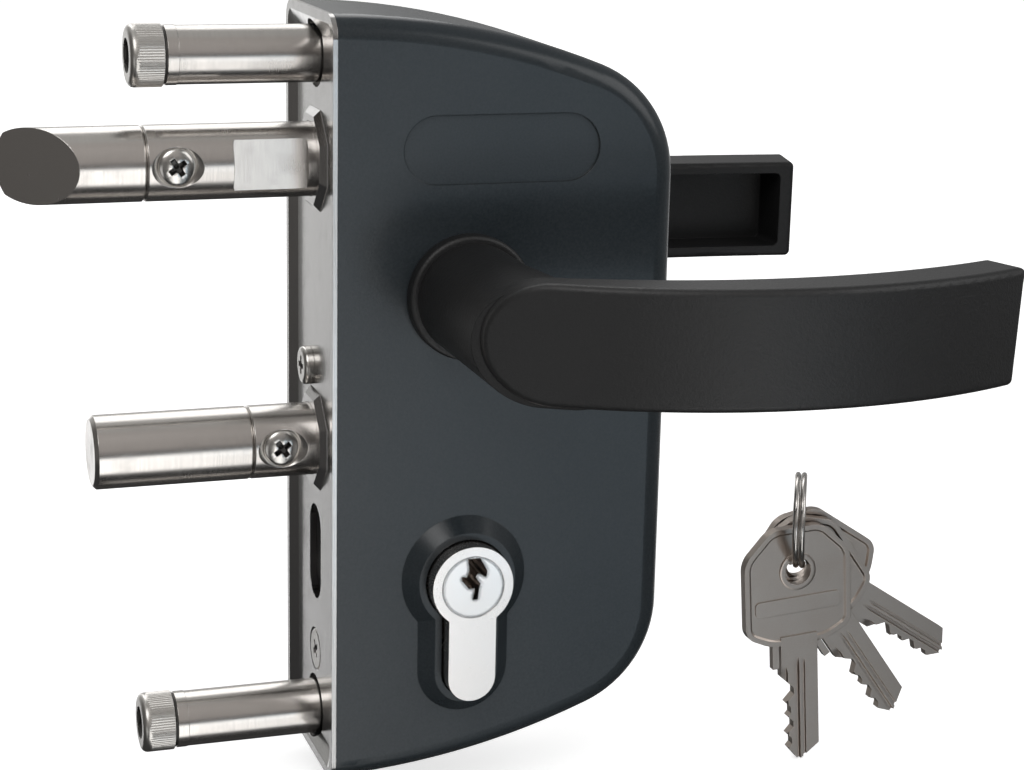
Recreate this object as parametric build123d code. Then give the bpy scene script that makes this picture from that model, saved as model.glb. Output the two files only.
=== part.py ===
"""Surface-mounted gate lock for a square post, in millimetres.

The rim of the forend tray lies on the post at x = 0 and +X runs into the lock.
The front, with the lever and the keyed side, looks along -Y, and +Z is up.
z = 0 is half the height of the case.
"""
import math
import os

from build123d import *

os.makedirs("parts", exist_ok=True)

# Case
CASE_HEIGHT = 156.4
CASE_WIDTH = 71.4
CASE_DEPTH = 40.0
END_ARC_R = 155.0
CORNER_R = 24.0
EDGE_R = 4.5
COVER_WALL = 2.5
COVER_START = 1.0
PLATE_LENGTH = 40.4
PLATE_HEIGHT = 13.6
PLATE_SINK = 0.6
PLATE_X = 34.4
PLATE_MARGIN = 26.2

# Forend tray
RIM_WIDTH = 1.9
FLOOR_MARGIN = 5.0
FLOOR_X = 1.4
SHEET = 1.5
TRAY_GAP = 0.1
SLOT_LENGTH = 20.4
SLOT_WIDTH = 9.6
SLOT_DROP = 24.6

# Handle axis, cylinder and bolts
BACKSET = 27.6
LATCH_MARGIN = 30.2
CYLINDER_MARGIN = 42.4
SPINDLE_DROP = 25.1
BOLT_RISE = 25.8
BOLT_R = 7.5
LATCH_TIP_X = -60.2
LATCH_SEAM_X = -33.5
BEVEL_REACH = 13.8
BEVEL_FAR_Y = 5.2
BEVEL_NEAR_Y = -7.5
FLAT_START_X = -16.5
FLAT_END_X = -1.7
FLAT_HALF_HEIGHT = 5.0
FLAT_CORNER_R = 4.0
DEADBOLT_TIP_X = -44.8
DEADBOLT_SEAM_X = -13.0
DEADBOLT_EDGE = 0.8
SEAM_EDGE = 0.35
SHANK_END_X = 16.0
SEAM_GAP = 0.1
TANG_R = 4.5
TANG_LENGTH = 11.0
BOLT_SCREW_FROM_SEAM = 6.0
RUNNING_GAP = 0.06
FIT_GAP = 0.05

# Guides round the bolts
GUIDE_FOOT = 20.5
GUIDE_TOP = 17.6
GUIDE_FRONT_X = 0.1
GUIDE_TUBE_R = 8.9

# Fixing screws with sleeves, M8
FIXING_MARGIN = 9.2
SCREW_HEAD_X = -36.0
SCREW_HEAD_R = 6.15
SCREW_HEAD_LENGTH = 7.2
SCREW_R = 3.9
SOCKET_FLATS = 6.0
SOCKET_DEPTH = 4.5
WASHER_THICKNESS = 2.2
WASHER_R = 5.85
WASHER_SPLIT = 1.0
SLEEVE_R = 5.75
SLEEVE_BORE_R = 4.3
SLEEVE_HOLE_GAP = 1.0
ANCHOR_LENGTH = 17.0
ANCHOR_WIDTH = 15.0
ANCHOR_DEPTH = 12.4

# Small screws
CROSS_LENGTH = 4.2
CROSS_WIDTH = 1.0
CROSS_DEPTH = 1.4
M4_R = 1.95
M4_HEAD_R = 3.75
M4_HOLE_R = 2.05
COVER_SCREW_SINK = 0.5
BOLT_SCREW_SINK = 1.3
TRAY_SCREW_RISE = 14.4
TRAY_SCREW_Y = 4.5
TRAY_SCREW_R = 2.4
TRAY_SCREW_HEAD_R = 4.0
TRAY_SCREW_HEAD = 2.0
CYLINDER_SCREW_R = 2.4
CYLINDER_SCREW_HEAD_R = 4.7

# Mechanism plates and what joins them
CHEEK_GAP = 15.6
CHEEK_SHEET = 1.5
CHEEK_MARGIN = 5.4
CHEEK_TOP_MARGIN = 21.2
CHEEK_BOTTOM_MARGIN = 16.2
CHEEK_CHAMFER = 10.0
STANDOFF_R = 3.5
STANDOFF_TOP_IN = 9.0
STANDOFF_TOP_RISE = 6.8
STANDOFF_FAR_IN = 5.5
STANDOFF_FAR_DROP = 8.2
STANDOFF_LOW_DROP = 4.2
STANDOFF_FOOT_IN = 7.0
STANDOFF_FOOT_DROP = 10.2
BOSS_R = 4.2
COVER_SCREW_SPARE = 5.0

# Follower, latch tail and springs
SQUARE = 8.0
SQUARE_GAP = 0.05
HUB_R = 10.0
JOURNAL_R = 8.9
ARM_HALF = 4.0
ARM_REACH = 28.3
ARM_THICKNESS = 4.4
SPRING_ARM_REACH = 19.0
LATCH_THROW = 18.0
HANDLE_TURN = 38.0
TAIL_CHEEK = 2.0
TAIL_SLOT = 5.2
TAIL_HALF_HEIGHT = 4.0
TAIL_ROOT = 3.0
DRIVE_GAP = 0.3
DRIVE_BLOCK = 6.0
DRIVE_BLOCK_DROP = 7.0
GUIDE_ROD_R = 2.5
GUIDE_ROD_LENGTH = 4.0
STOP_MARGIN = 7.4
STOP_SHEET = 1.6
SPRING_R = 4.2
SPRING_WIRE = 1.2
RETURN_SPRING_X = 42.4
SEAT_GAP = 2.0
SEAT_HEIGHT = 2.0
SEAT_LENGTH = 10.0

# Dead bolt tail and cam
BOLT_THROW = 20.0
TAIL_PLATE = 4.0
TAIL_PLATE_END_X = 38.0
TAIL_PLATE_RISE = 6.0
CAM_REACH = 15.0
CAM_CLEARANCE = 0.6
CAM_FINGER = 6.0
CAM_R = 8.2
NOTCH_HALF = 12.0
HORN_THICKNESS = 2.2
HORN_DROP = 4.0
RAIL_HEIGHT = 2.4
PIN_R = 1.95
PIN_X = 24.0

# Profile cylinder
CYLINDER_STAND = 7.0
PROFILE_R = 8.5
PROFILE_HALF_WIDTH = 5.0
PROFILE_DROP = 24.5
CYLINDER_GAP = 0.3
CAM_SLOT = 10.2
CAM_SPACE = 16.0
PLUG_R = 6.5
FIXING_HOLE_DROP = 20.6
COLLAR_HEIGHT = 3.0
COLLAR_RIM = 1.7
COLLAR_FLARE = 2.9

# Roses and handles
ROSE_R = 12.6
ROSE_HEIGHT = 3.2
SPIGOT_R = 8.0
SPIGOT_DEPTH = 4.0
HANDLE_GAP = 0.1
NECK_R = 11.15
GRIP_HALF_HEIGHT = 11.4
GRIP_RISE = 0.9
GRIP_END_SHIFT = 1.6
GRIP_EDGE_R = 1.3
GRIP_WALL = 2.6
POCKET_START = 30.0
NECK_FLARE = 5.0
NECK_FLARE_LENGTH = 26.0
FRONT_GRIP_FACE = (59.0, 82.0, 73.0)
FRONT_GRIP_BACK = (53.0, 71.0, 63.4)
FRONT_GRIP_TIP_X = 121.0
FRONT_NECK_OUT = 66.0
REAR_GRIP_FACE = (62.8, 69.0, 65.5)
REAR_GRIP_BACK = (51.0, 55.5, 52.0)
REAR_GRIP_TIP_X = 134.5
REAR_NECK_OUT = 52.6
TIP_SLANT = 1.4
TIP_SKEW = 3.0
GRUB_R = 3.0
GRUB_OUT = 34.0
SPINDLE_FRONT_OUT = 46.0
SPINDLE_REAR_OUT = 46.0

# Keys
KEY_X = 102.5
KEY_Y = -20.0
KEY_Z = -41.0
KEY_THICKNESS = 2.2
KEY_SPACING = 2.6
KEY_HEAD_WIDTH = 24.8
KEY_HEAD_TOP = 10.0
KEY_HEAD_BOTTOM = 16.6
KEY_TOP_CUT = 6.5
KEY_BOTTOM_CUT = 6.0
KEY_CORNER_R = 2.0
KEY_HOLE_R = 3.0
KEY_BLADE_WIDTH = 8.6
KEY_BLADE_LENGTH = 27.0
KEY_TIP = 3.0
KEY_GROOVE = 1.1
KEY_GROOVE_DEPTH = 0.6
KEY_TURNS = [4.3, 35.5, 57.0]
KEY_CUTS = [(6.0, 0.0), (9.4, 2.9), (11.0, 2.9), (12.6, 1.3), (14.2, 2.0), (16.0, 2.0),
            (17.4, 1.0), (19.0, 2.4), (20.6, 1.6), (22.4, 2.2), (24.0, 1.2)]
RING_R = 9.7
RING_RISE = 0.65
RING_WIRE_R = 0.7
RING_COIL_GAP = 1.3
RING_TURN = 27.5

# Values that follow from the ones above
HALF_HEIGHT = CASE_HEIGHT / 2
HALF_DEPTH = CASE_DEPTH / 2
LATCH_Z = HALF_HEIGHT - LATCH_MARGIN
SPINDLE_Z = LATCH_Z - SPINDLE_DROP
GRIP_Z = SPINDLE_Z + GRIP_RISE
CYLINDER_Z = CYLINDER_MARGIN - HALF_HEIGHT
BOLT_Z = CYLINDER_Z + BOLT_RISE
FIXING_Z = HALF_HEIGHT - FIXING_MARGIN
PLATE_Z = HALF_HEIGHT - PLATE_MARGIN
SLOT_Z = BOLT_Z - SLOT_DROP
TRAY_SCREW_Z = BOLT_Z + TRAY_SCREW_RISE
SEAT_Z = BOLT_Z + BOLT_R + SEAT_GAP
TAIL_PLATE_TOP_Z = BOLT_Z + TAIL_PLATE_RISE
CYLINDER_LENGTH = CASE_DEPTH + 2 * CYLINDER_STAND
COVER_SCREW_LENGTH = CASE_DEPTH - COVER_SCREW_SPARE
STOP_X = CASE_WIDTH - COVER_WALL - STOP_MARGIN
CHEEK_FAR_X = CASE_WIDTH - COVER_WALL - CHEEK_MARGIN
CHEEK_TOP_Z = HALF_HEIGHT - CHEEK_TOP_MARGIN
CHEEK_BOTTOM_Z = CHEEK_BOTTOM_MARGIN - HALF_HEIGHT
TRAY_BACK_X = FLOOR_X + SHEET
CHEEK_IN = CHEEK_GAP / 2
CHEEK_OUT = CHEEK_IN + CHEEK_SHEET
SCREW_END_X = TRAY_BACK_X + ANCHOR_LENGTH
INSIDE_Y = HALF_DEPTH - COVER_WALL
STANDOFF_PLACES = [
    (TRAY_BACK_X + STANDOFF_TOP_IN, SPINDLE_Z + STANDOFF_TOP_RISE),
    (CHEEK_FAR_X - STANDOFF_FAR_IN, SPINDLE_Z - STANDOFF_FAR_DROP),
    (CHEEK_FAR_X - STANDOFF_FAR_IN, CYLINDER_Z - STANDOFF_LOW_DROP),
    (TRAY_BACK_X + STANDOFF_FOOT_IN, CYLINDER_Z - STANDOFF_FOOT_DROP),
]
ARM_FACE_X = BACKSET + ARM_HALF
NOTCH_X = BACKSET - BOLT_THROW / 2
TAIL_PLATE_BOTTOM_Z = CYLINDER_Z + CAM_REACH + CAM_CLEARANCE


def rod_x(radius, x0, x1, y, z):
    """Round bar along X."""
    return Pos((x0 + x1) / 2, y, z) * Rot(0, 90, 0) * Cylinder(radius, x1 - x0)


def rod_y(radius, y0, y1, x, z):
    """Round bar along Y."""
    return Pos(x, (y0 + y1) / 2, z) * Rot(90, 0, 0) * Cylinder(radius, y1 - y0)


def rod_z(radius, z0, z1, x, y):
    """Round bar along Z."""
    return Pos(x, y, (z0 + z1) / 2) * Cylinder(radius, z1 - z0)


def block(x0, x1, y0, y1, z0, z1):
    """Box between two corners."""
    return Pos((x0 + x1) / 2, (y0 + y1) / 2, (z0 + z1) / 2) * Box(x1 - x0, y1 - y0, z1 - z0)


def slab(sketch, y0, y1):
    """Sketch drawn in x and z, with a thickness from y0 to y1."""
    return extrude(Pos(0, y0, 0) * (Plane.XZ * sketch), y1 - y0, dir=(0, 1, 0))


def cross_recess():
    """Cross recess cut down from z = 0."""
    bar = Box(CROSS_LENGTH, CROSS_WIDTH, 2 * CROSS_DEPTH)
    return bar + Rot(0, 0, 90) * bar


def countersunk_screw(radius, head_r, length):
    """Screw that points down from z = 0, with a flat countersunk head."""
    rise = head_r - radius
    head = Pos(0, 0, -rise / 2) * Cone(radius, head_r, rise)
    shank = Pos(0, 0, -length / 2) * Cylinder(radius, length)
    return head + shank - cross_recess()


def countersink(sink):
    """Countersunk hole from z = 0 down, for a small screw whose head lies sink below z = 0."""
    top_r = M4_HEAD_R + FIT_GAP + sink
    return Pos(0, 0, (M4_HOLE_R - top_r) / 2) * Cone(M4_HOLE_R, top_r, top_r - M4_HOLE_R)


def case_outline(inset, start_x):
    """D-shaped outline in x and z, moved in by inset and cut off at start_x."""
    end_centre = HALF_HEIGHT - END_ARC_R
    corner_x = CASE_WIDTH - CORNER_R
    corner_z = end_centre + math.sqrt((END_ARC_R - CORNER_R) ** 2 - corner_x ** 2)
    end_r = END_ARC_R - inset
    corner_r = CORNER_R - inset
    join = math.atan2(corner_z - end_centre, corner_x)
    start = math.acos(start_x / end_r)
    middle = (start + join) / 2
    end_points = [
        (end_r * math.cos(a), end_centre + end_r * math.sin(a)) for a in (start, middle, join)
    ]
    corner_points = [
        (corner_x + corner_r * math.cos(a), corner_z + corner_r * math.sin(a))
        for a in (join, join / 2, 0)
    ]
    upper = [ThreePointArc(*end_points), ThreePointArc(*corner_points)]
    lower = [mirror(arc, Plane.XZ) for arc in upper]
    far_edge = Line(corner_points[2], (corner_points[2][0], -corner_z))
    near_edge = Line(end_points[0], (start_x, -end_points[0][1]))
    return make_face(upper + lower + [far_edge, near_edge])


def profile_outline(offset):
    """Outline of the profile cylinder in x and z, grown by offset."""
    radius = PROFILE_R + offset
    half = PROFILE_HALF_WIDTH + offset
    drop = PROFILE_DROP - PROFILE_HALF_WIDTH
    round_part = Circle(radius)
    web = Pos(0, -drop / 2) * Rectangle(2 * half, drop)
    foot = Pos(0, -drop) * Circle(half)
    return Pos(BACKSET, CYLINDER_Z) * (round_part + web + foot)


def collar_outline():
    """Foot of the raised collar, with the corners of the profile outline kept."""
    return profile_outline(COLLAR_RIM + COLLAR_FLARE)


def curved_rim(solid):
    """Edges of the front face, without the straight one next to the tray."""
    face = solid.faces().sort_by(Axis.Y)[0]
    return [edge for edge in face.edges() if edge.center().X > COVER_START + EDGE_R]


def cover_shell():
    """Shell with bosses and cylinder collar that both covers share, made as the front one."""
    body = slab(case_outline(0, COVER_START), -HALF_DEPTH, 0)
    body = fillet(curved_rim(body), EDGE_R)
    room = slab(case_outline(COVER_WALL, 0), -INSIDE_Y, SHEET)
    room = fillet(curved_rim(room), EDGE_R - COVER_WALL)
    shell = body - room
    foot = Pos(0, -HALF_DEPTH, 0) * (Plane.XZ * collar_outline())
    taper = math.degrees(math.atan2(COLLAR_FLARE, COLLAR_HEIGHT))
    shell += extrude(foot, COLLAR_HEIGHT, taper=taper)
    for x, z in STANDOFF_PLACES:
        shell += rod_y(BOSS_R, -INSIDE_Y - FIT_GAP, -CHEEK_OUT, x, z)
    shell -= slab(profile_outline(CYLINDER_GAP), -HALF_DEPTH - COLLAR_HEIGHT, 0)
    shell -= rod_y(SPIGOT_R + DRIVE_GAP, -HALF_DEPTH, 0, BACKSET, SPINDLE_Z)
    return shell


def front_cover():
    """Front cover: shared shell with the bare sunk plate and blind screw bosses."""
    shell = cover_shell()
    plate = Pos(PLATE_X, PLATE_Z) * SlotOverall(PLATE_LENGTH, PLATE_HEIGHT)
    shell -= slab(plate, -HALF_DEPTH, -HALF_DEPTH + PLATE_SINK)
    for x, z in STANDOFF_PLACES:
        shell -= rod_y(M4_R + FIT_GAP, -INSIDE_Y + SHEET / 2, -CHEEK_IN, x, z)
    return shell


def rear_cover():
    """Rear cover: the same shell turned round, with countersunk screw holes."""
    shell = mirror(cover_shell(), Plane.XZ)
    for x, z in STANDOFF_PLACES:
        shell -= rod_y(M4_HOLE_R, CHEEK_IN, HALF_DEPTH, x, z)
        shell -= Pos(x, HALF_DEPTH, z) * Rot(-90, 0, 0) * countersink(COVER_SCREW_SINK)
    return shell


def tray_section(inset, radius, x):
    """Rounded rectangle across the tray at x."""
    sketch = RectangleRounded(CASE_DEPTH - 2 * inset, CASE_HEIGHT - 2 * inset, radius)
    return Pos(x, 0, 0) * (Plane.YZ * sketch)


def forend_tray():
    """Pressed tray: rim on the post, sloped walls and a sunk floor with its holes."""
    wall_inset = COVER_WALL + TRAY_GAP
    rim = extrude(tray_section(0, EDGE_R, 0), COVER_START)
    wall = extrude(tray_section(wall_inset, EDGE_R - wall_inset, COVER_START), TRAY_BACK_X - COVER_START)
    top = tray_section(RIM_WIDTH, EDGE_R - RIM_WIDTH, 0)
    floor = tray_section(FLOOR_MARGIN, SHEET, FLOOR_X)
    tray = rim + wall - loft([top, floor], ruled=True)
    for z in (LATCH_Z, BOLT_Z):
        tray -= rod_x(GUIDE_TUBE_R + FIT_GAP, 0, TRAY_BACK_X, 0, z)
    for z in (FIXING_Z, -FIXING_Z):
        tray -= rod_x(SLEEVE_R + SLEEVE_HOLE_GAP, -SHEET, TRAY_BACK_X, 0, z)
    slot = Pos(0, SLOT_Z) * Rot(0, 0, 90) * SlotOverall(SLOT_LENGTH, SLOT_WIDTH)
    tray -= extrude(Plane.YZ * slot, TRAY_BACK_X)
    tray -= rod_x(TRAY_SCREW_R + FIT_GAP, 0, TRAY_BACK_X, TRAY_SCREW_Y, TRAY_SCREW_Z)
    screw_z = CYLINDER_Z - FIXING_HOLE_DROP
    tray -= rod_x(CYLINDER_SCREW_R + FIT_GAP, 0, TRAY_BACK_X, 0, screw_z)
    sink = CYLINDER_SCREW_HEAD_R - CYLINDER_SCREW_R
    cone = Rot(0, 90, 0) * Cone(CYLINDER_SCREW_HEAD_R + FIT_GAP, CYLINDER_SCREW_R + FIT_GAP, sink)
    tray -= Pos(FLOOR_X + sink / 2, 0, screw_z) * cone
    return tray


def bolt_guide(z):
    """Eight-sided collar on the tray floor with a bush through it."""
    foot = Plane.YZ * (Rot(0, 0, 22.5) * RegularPolygon(GUIDE_FOOT / 2, 8, major_radius=False))
    top = Plane.YZ * (Rot(0, 0, 22.5) * RegularPolygon(GUIDE_TOP / 2, 8, major_radius=False))
    collar = loft([Pos(FLOOR_X, 0, z) * foot, Pos(GUIDE_FRONT_X, 0, z) * top], ruled=True)
    bush = rod_x(GUIDE_TUBE_R, FLOOR_X, TRAY_BACK_X, 0, z)
    bore = rod_x(BOLT_R + RUNNING_GAP, GUIDE_FRONT_X, TRAY_BACK_X, 0, z)
    return collar + bush - bore


def fixing_screw(z):
    """Long socket head screw that holds the lock on the post."""
    head_end = SCREW_HEAD_X + SCREW_HEAD_LENGTH
    head = rod_x(SCREW_HEAD_R, SCREW_HEAD_X, head_end, 0, z)
    head = chamfer(head.edges().group_by(Axis.X)[0], SCREW_HEAD_R / 10)
    socket = Plane.YZ * RegularPolygon(SOCKET_FLATS / 2, 6, major_radius=False)
    head -= Pos(SCREW_HEAD_X, 0, z) * extrude(socket, SOCKET_DEPTH)
    return head + rod_x(SCREW_R, head_end, SCREW_END_X, 0, z)


def fixing_washer(z):
    """Split spring washer behind the screw head."""
    start = SCREW_HEAD_X + SCREW_HEAD_LENGTH
    ring = rod_x(WASHER_R, start, start + WASHER_THICKNESS, 0, z)
    ring -= rod_x(SLEEVE_BORE_R, start, start + WASHER_THICKNESS, 0, z)
    split = block(start, start + WASHER_THICKNESS, 0, WASHER_R, z, z + WASHER_SPLIT)
    return ring - split


def fixing_sleeve(z):
    """Spacer sleeve that passes through the post and lands on the anchor block."""
    start = SCREW_HEAD_X + SCREW_HEAD_LENGTH + WASHER_THICKNESS
    tube = rod_x(SLEEVE_R, start, TRAY_BACK_X, 0, z)
    return tube - rod_x(SLEEVE_BORE_R, start, TRAY_BACK_X, 0, z)


def anchor_block(side):
    """Block behind the tray that the fixing screw is threaded into; side is 1 up, -1 down."""
    far_z = HALF_HEIGHT - FLOOR_X - COVER_WALL
    solid = block(TRAY_BACK_X, TRAY_BACK_X + ANCHOR_LENGTH, -ANCHOR_WIDTH / 2, ANCHOR_WIDTH / 2,
                  far_z - ANCHOR_DEPTH, far_z)
    solid = chamfer(solid.edges().filter_by(Axis.Y).group_by(Axis.Z)[-1], FLOOR_X)
    solid -= rod_x(SCREW_R + FIT_GAP, TRAY_BACK_X, TRAY_BACK_X + ANCHOR_LENGTH, 0, FIXING_Z)
    return solid if side > 0 else mirror(solid, Plane.XY)


def tray_screw():
    """Raised pan head screw in the tray between the bolts."""
    head_x = FLOOR_X - TRAY_SCREW_HEAD
    head = rod_x(TRAY_SCREW_HEAD_R, head_x, FLOOR_X, TRAY_SCREW_Y, TRAY_SCREW_Z)
    head = fillet(head.edges().group_by(Axis.X)[0], TRAY_SCREW_HEAD_R / 6)
    end_x = TRAY_BACK_X + TRAY_SCREW_HEAD_R * 1.5
    shank = rod_x(TRAY_SCREW_R, FLOOR_X, end_x, TRAY_SCREW_Y, TRAY_SCREW_Z)
    return head + shank - Pos(head_x, TRAY_SCREW_Y, TRAY_SCREW_Z) * Rot(0, 90, 0) * cross_recess()


def tray_block():
    """Block between the mechanism plates that the tray screw enters."""
    half = TRAY_SCREW_HEAD_R
    end_x = TRAY_BACK_X + 2 * TRAY_SCREW_HEAD_R
    solid = block(TRAY_BACK_X, end_x, -CHEEK_IN, CHEEK_IN, TRAY_SCREW_Z - half, TRAY_SCREW_Z + half)
    return solid - rod_x(TRAY_SCREW_R + FIT_GAP, TRAY_BACK_X, end_x, TRAY_SCREW_Y, TRAY_SCREW_Z)


def cylinder_screw():
    """Countersunk screw through the tray into the web of the cylinder."""
    length = BACKSET - FLOOR_X
    screw = countersunk_screw(CYLINDER_SCREW_R, CYLINDER_SCREW_HEAD_R, length)
    return Pos(FLOOR_X, 0, CYLINDER_Z - FIXING_HOLE_DROP) * Rot(0, -90, 0) * screw


def mechanism_plate():
    """Rear one of the two plates that carry the mechanism."""
    corners = [
        (TRAY_BACK_X, CHEEK_BOTTOM_Z),
        (CHEEK_FAR_X - CHEEK_CHAMFER, CHEEK_BOTTOM_Z),
        (CHEEK_FAR_X, CHEEK_BOTTOM_Z + CHEEK_CHAMFER),
        (CHEEK_FAR_X, CHEEK_TOP_Z - CHEEK_CHAMFER / 2),
        (CHEEK_FAR_X - CHEEK_CHAMFER / 2, CHEEK_TOP_Z),
        (TRAY_BACK_X, CHEEK_TOP_Z),
    ]
    plate = slab(Polygon(*corners, align=None), CHEEK_IN, CHEEK_OUT)
    plate -= rod_y(JOURNAL_R + FIT_GAP, CHEEK_IN, CHEEK_OUT, BACKSET, SPINDLE_Z)
    plate -= slab(profile_outline(CYLINDER_GAP), CHEEK_IN, CHEEK_OUT)
    travel = BOLT_THROW + 2 * (PIN_R + FIT_GAP)
    guide = Pos(PIN_X + BOLT_THROW / 2, BOLT_Z) * SlotOverall(travel + 2 * FIT_GAP, 2 * (PIN_R + FIT_GAP))
    plate -= slab(guide, CHEEK_IN, CHEEK_OUT)
    for x, z in STANDOFF_PLACES:
        plate -= rod_y(M4_HOLE_R, CHEEK_IN, CHEEK_OUT, x, z)
    return plate


def standoff(x, z):
    """Tube that keeps the two plates apart."""
    return rod_y(STANDOFF_R, -CHEEK_IN, CHEEK_IN, x, z) - rod_y(M4_HOLE_R, -CHEEK_IN, CHEEK_IN, x, z)


def cover_screw(x, z):
    """Countersunk screw from the rear cover into a boss of the front cover."""
    screw = countersunk_screw(M4_R, M4_HEAD_R, COVER_SCREW_LENGTH)
    return Pos(x, HALF_DEPTH - COVER_SCREW_SINK, z) * Rot(-90, 0, 0) * screw


def spring_stop():
    """Cross plate that the latch spring pushes against."""
    return block(STOP_X, STOP_X + STOP_SHEET, -CHEEK_IN, CHEEK_IN, LATCH_Z - SPRING_R, LATCH_Z + SPRING_R)


def spring_seat():
    """Cross block under the return spring of the follower."""
    x0 = RETURN_SPRING_X - SEAT_LENGTH / 2
    return block(x0, x0 + SEAT_LENGTH, -CHEEK_IN, CHEEK_IN, SEAT_Z, SEAT_Z + SEAT_HEIGHT)


def follower():
    """Hub turned by the spindle, with one arm for the latch and one for its spring."""
    hub = rod_y(HUB_R, -CHEEK_IN + FIT_GAP, CHEEK_IN - FIT_GAP, BACKSET, SPINDLE_Z)
    hub += rod_y(JOURNAL_R, -CHEEK_OUT, CHEEK_OUT, BACKSET, SPINDLE_Z)
    half = ARM_THICKNESS / 2
    arm = block(BACKSET - ARM_HALF, ARM_FACE_X, -half, half, SPINDLE_Z, SPINDLE_Z + ARM_REACH)
    arm = fillet(arm.edges().filter_by(Axis.Y).group_by(Axis.Z)[-1], ARM_HALF / 4)
    side = block(BACKSET, BACKSET + SPRING_ARM_REACH, -half, half,
                 SPINDLE_Z - ARM_HALF, SPINDLE_Z + ARM_HALF)
    side = fillet(side.edges().filter_by(Axis.Y).group_by(Axis.X)[-1], ARM_HALF / 4)
    return hub + arm + side - spindle_hole(-CHEEK_OUT, CHEEK_OUT)


def spindle_hole(y0, y1):
    """Square hole for the spindle."""
    half = SQUARE / 2 + SQUARE_GAP
    return block(BACKSET - half, BACKSET + half, y0, y1, SPINDLE_Z - half, SPINDLE_Z + half)


def spindle():
    """Square spindle through both handles and the follower."""
    half = SQUARE / 2
    bar = block(BACKSET - half, BACKSET + half, -SPINDLE_FRONT_OUT, SPINDLE_REAR_OUT,
                SPINDLE_Z - half, SPINDLE_Z + half)
    return chamfer(bar.edges().filter_by(Axis.Y), SQUARE / 16)


def bolt_head(tip_x, seam_x, z):
    """Round bolt head, chamfered at the tip and a little at the seam with its shank."""
    head = rod_x(BOLT_R, tip_x, seam_x, 0, z)
    head = chamfer(head.edges().group_by(Axis.X)[0], DEADBOLT_EDGE)
    return chamfer(head.edges().group_by(Axis.X)[-1], SEAM_EDGE)


def latch_head():
    """Round latch head with one long bevel towards the front."""
    head = bolt_head(LATCH_TIP_X, LATCH_SEAM_X, LATCH_Z)
    slope = (BEVEL_FAR_Y - BEVEL_NEAR_Y) / BEVEL_REACH
    past = SHEET
    wedge = Polygon(
        (LATCH_TIP_X - past, BEVEL_FAR_Y + past * slope),
        (LATCH_TIP_X + BEVEL_REACH + past / slope, BEVEL_NEAR_Y - past),
        (LATCH_TIP_X - past, BEVEL_NEAR_Y - past),
        align=None,
    )
    head -= extrude(Pos(0, 0, LATCH_Z - BOLT_R) * wedge, 2 * BOLT_R, dir=(0, 0, 1))
    return head + tang(LATCH_SEAM_X, LATCH_Z)


def tang(seam_x, z):
    """Round tang of a bolt head, with the hole of its screw."""
    solid = rod_x(TANG_R, seam_x, seam_x + TANG_LENGTH, 0, z)
    return solid - rod_y(M4_HOLE_R, -TANG_R, TANG_R, seam_x + BOLT_SCREW_FROM_SEAM, z)


def bolt_shank(seam_x, z):
    """Round shank bored for the tang of its head and countersunk for the screw."""
    start = seam_x + SEAM_GAP
    shank = rod_x(BOLT_R, start, SHANK_END_X, 0, z)
    shank = chamfer(shank.edges().group_by(Axis.X)[0], SEAM_EDGE)
    shank -= rod_x(TANG_R + FIT_GAP, start, seam_x + TANG_LENGTH + SEAM_GAP, 0, z)
    screw_x = seam_x + BOLT_SCREW_FROM_SEAM
    shank -= rod_y(M4_HOLE_R, -BOLT_R, 0, screw_x, z)
    return shank - Pos(screw_x, -BOLT_R, z) * Rot(90, 0, 0) * countersink(BOLT_SCREW_SINK)


def latch_shank():
    """Latch shank with a milled flat on both sides, as the latch can be turned over."""
    shank = bolt_shank(LATCH_SEAM_X, LATCH_Z)
    depth = BOLT_R - math.sqrt(BOLT_R ** 2 - FLAT_HALF_HEIGHT ** 2)
    tool = block(FLAT_START_X, FLAT_END_X, -BOLT_R, -BOLT_R + depth, LATCH_Z - BOLT_R, LATCH_Z + BOLT_R)
    tool = fillet(tool.edges().filter_by(Axis.Y).group_by(Axis.X)[0], FLAT_CORNER_R)
    return shank - tool - mirror(tool, Plane.XZ)


def bolt_screw(seam_x, z):
    """Countersunk screw that holds a bolt head on its shank."""
    screw = countersunk_screw(M4_R, M4_HEAD_R, BOLT_R + TANG_R / 2)
    return Pos(seam_x + BOLT_SCREW_FROM_SEAM, BOLT_SCREW_SINK - BOLT_R, z) * Rot(90, 0, 0) * screw


def latch_tail():
    """Two cheeks with a cross block that the follower arm draws back, and a spring rod."""
    inner = TAIL_SLOT / 2
    outer = inner + TAIL_CHEEK
    drive_x = ARM_FACE_X + DRIVE_GAP
    end_x = drive_x + DRIVE_BLOCK
    low = LATCH_Z - TAIL_HALF_HEIGHT
    high = LATCH_Z + TAIL_HALF_HEIGHT
    tail = block(SHANK_END_X, end_x, inner, outer, low, high)
    tail += block(SHANK_END_X, end_x, -outer, -inner, low, high)
    tail += block(SHANK_END_X, SHANK_END_X + TAIL_ROOT, -outer, outer, low, high)
    tail += block(drive_x, end_x, -outer, outer, LATCH_Z - DRIVE_BLOCK_DROP, high)
    return tail + rod_x(GUIDE_ROD_R, end_x, end_x + GUIDE_ROD_LENGTH, 0, LATCH_Z)


def spring_tube(radius):
    """Wall of a close-wound spring, from z = 0 to 1."""
    return Circle(radius) - Circle(radius - SPRING_WIRE)


def latch_spring():
    """Spring between the cross block of the latch tail and the stop."""
    start = ARM_FACE_X + DRIVE_GAP + DRIVE_BLOCK
    return Pos(start, 0, LATCH_Z) * extrude(Plane.YZ * spring_tube(SPRING_R), STOP_X - start)


def return_spring():
    """Spring between the seat and the side arm of the follower."""
    start = SEAT_Z + SEAT_HEIGHT
    height = SPINDLE_Z - ARM_HALF - start
    return Pos(RETURN_SPRING_X, 0, start) * extrude(spring_tube(SPRING_R), height)


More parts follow.
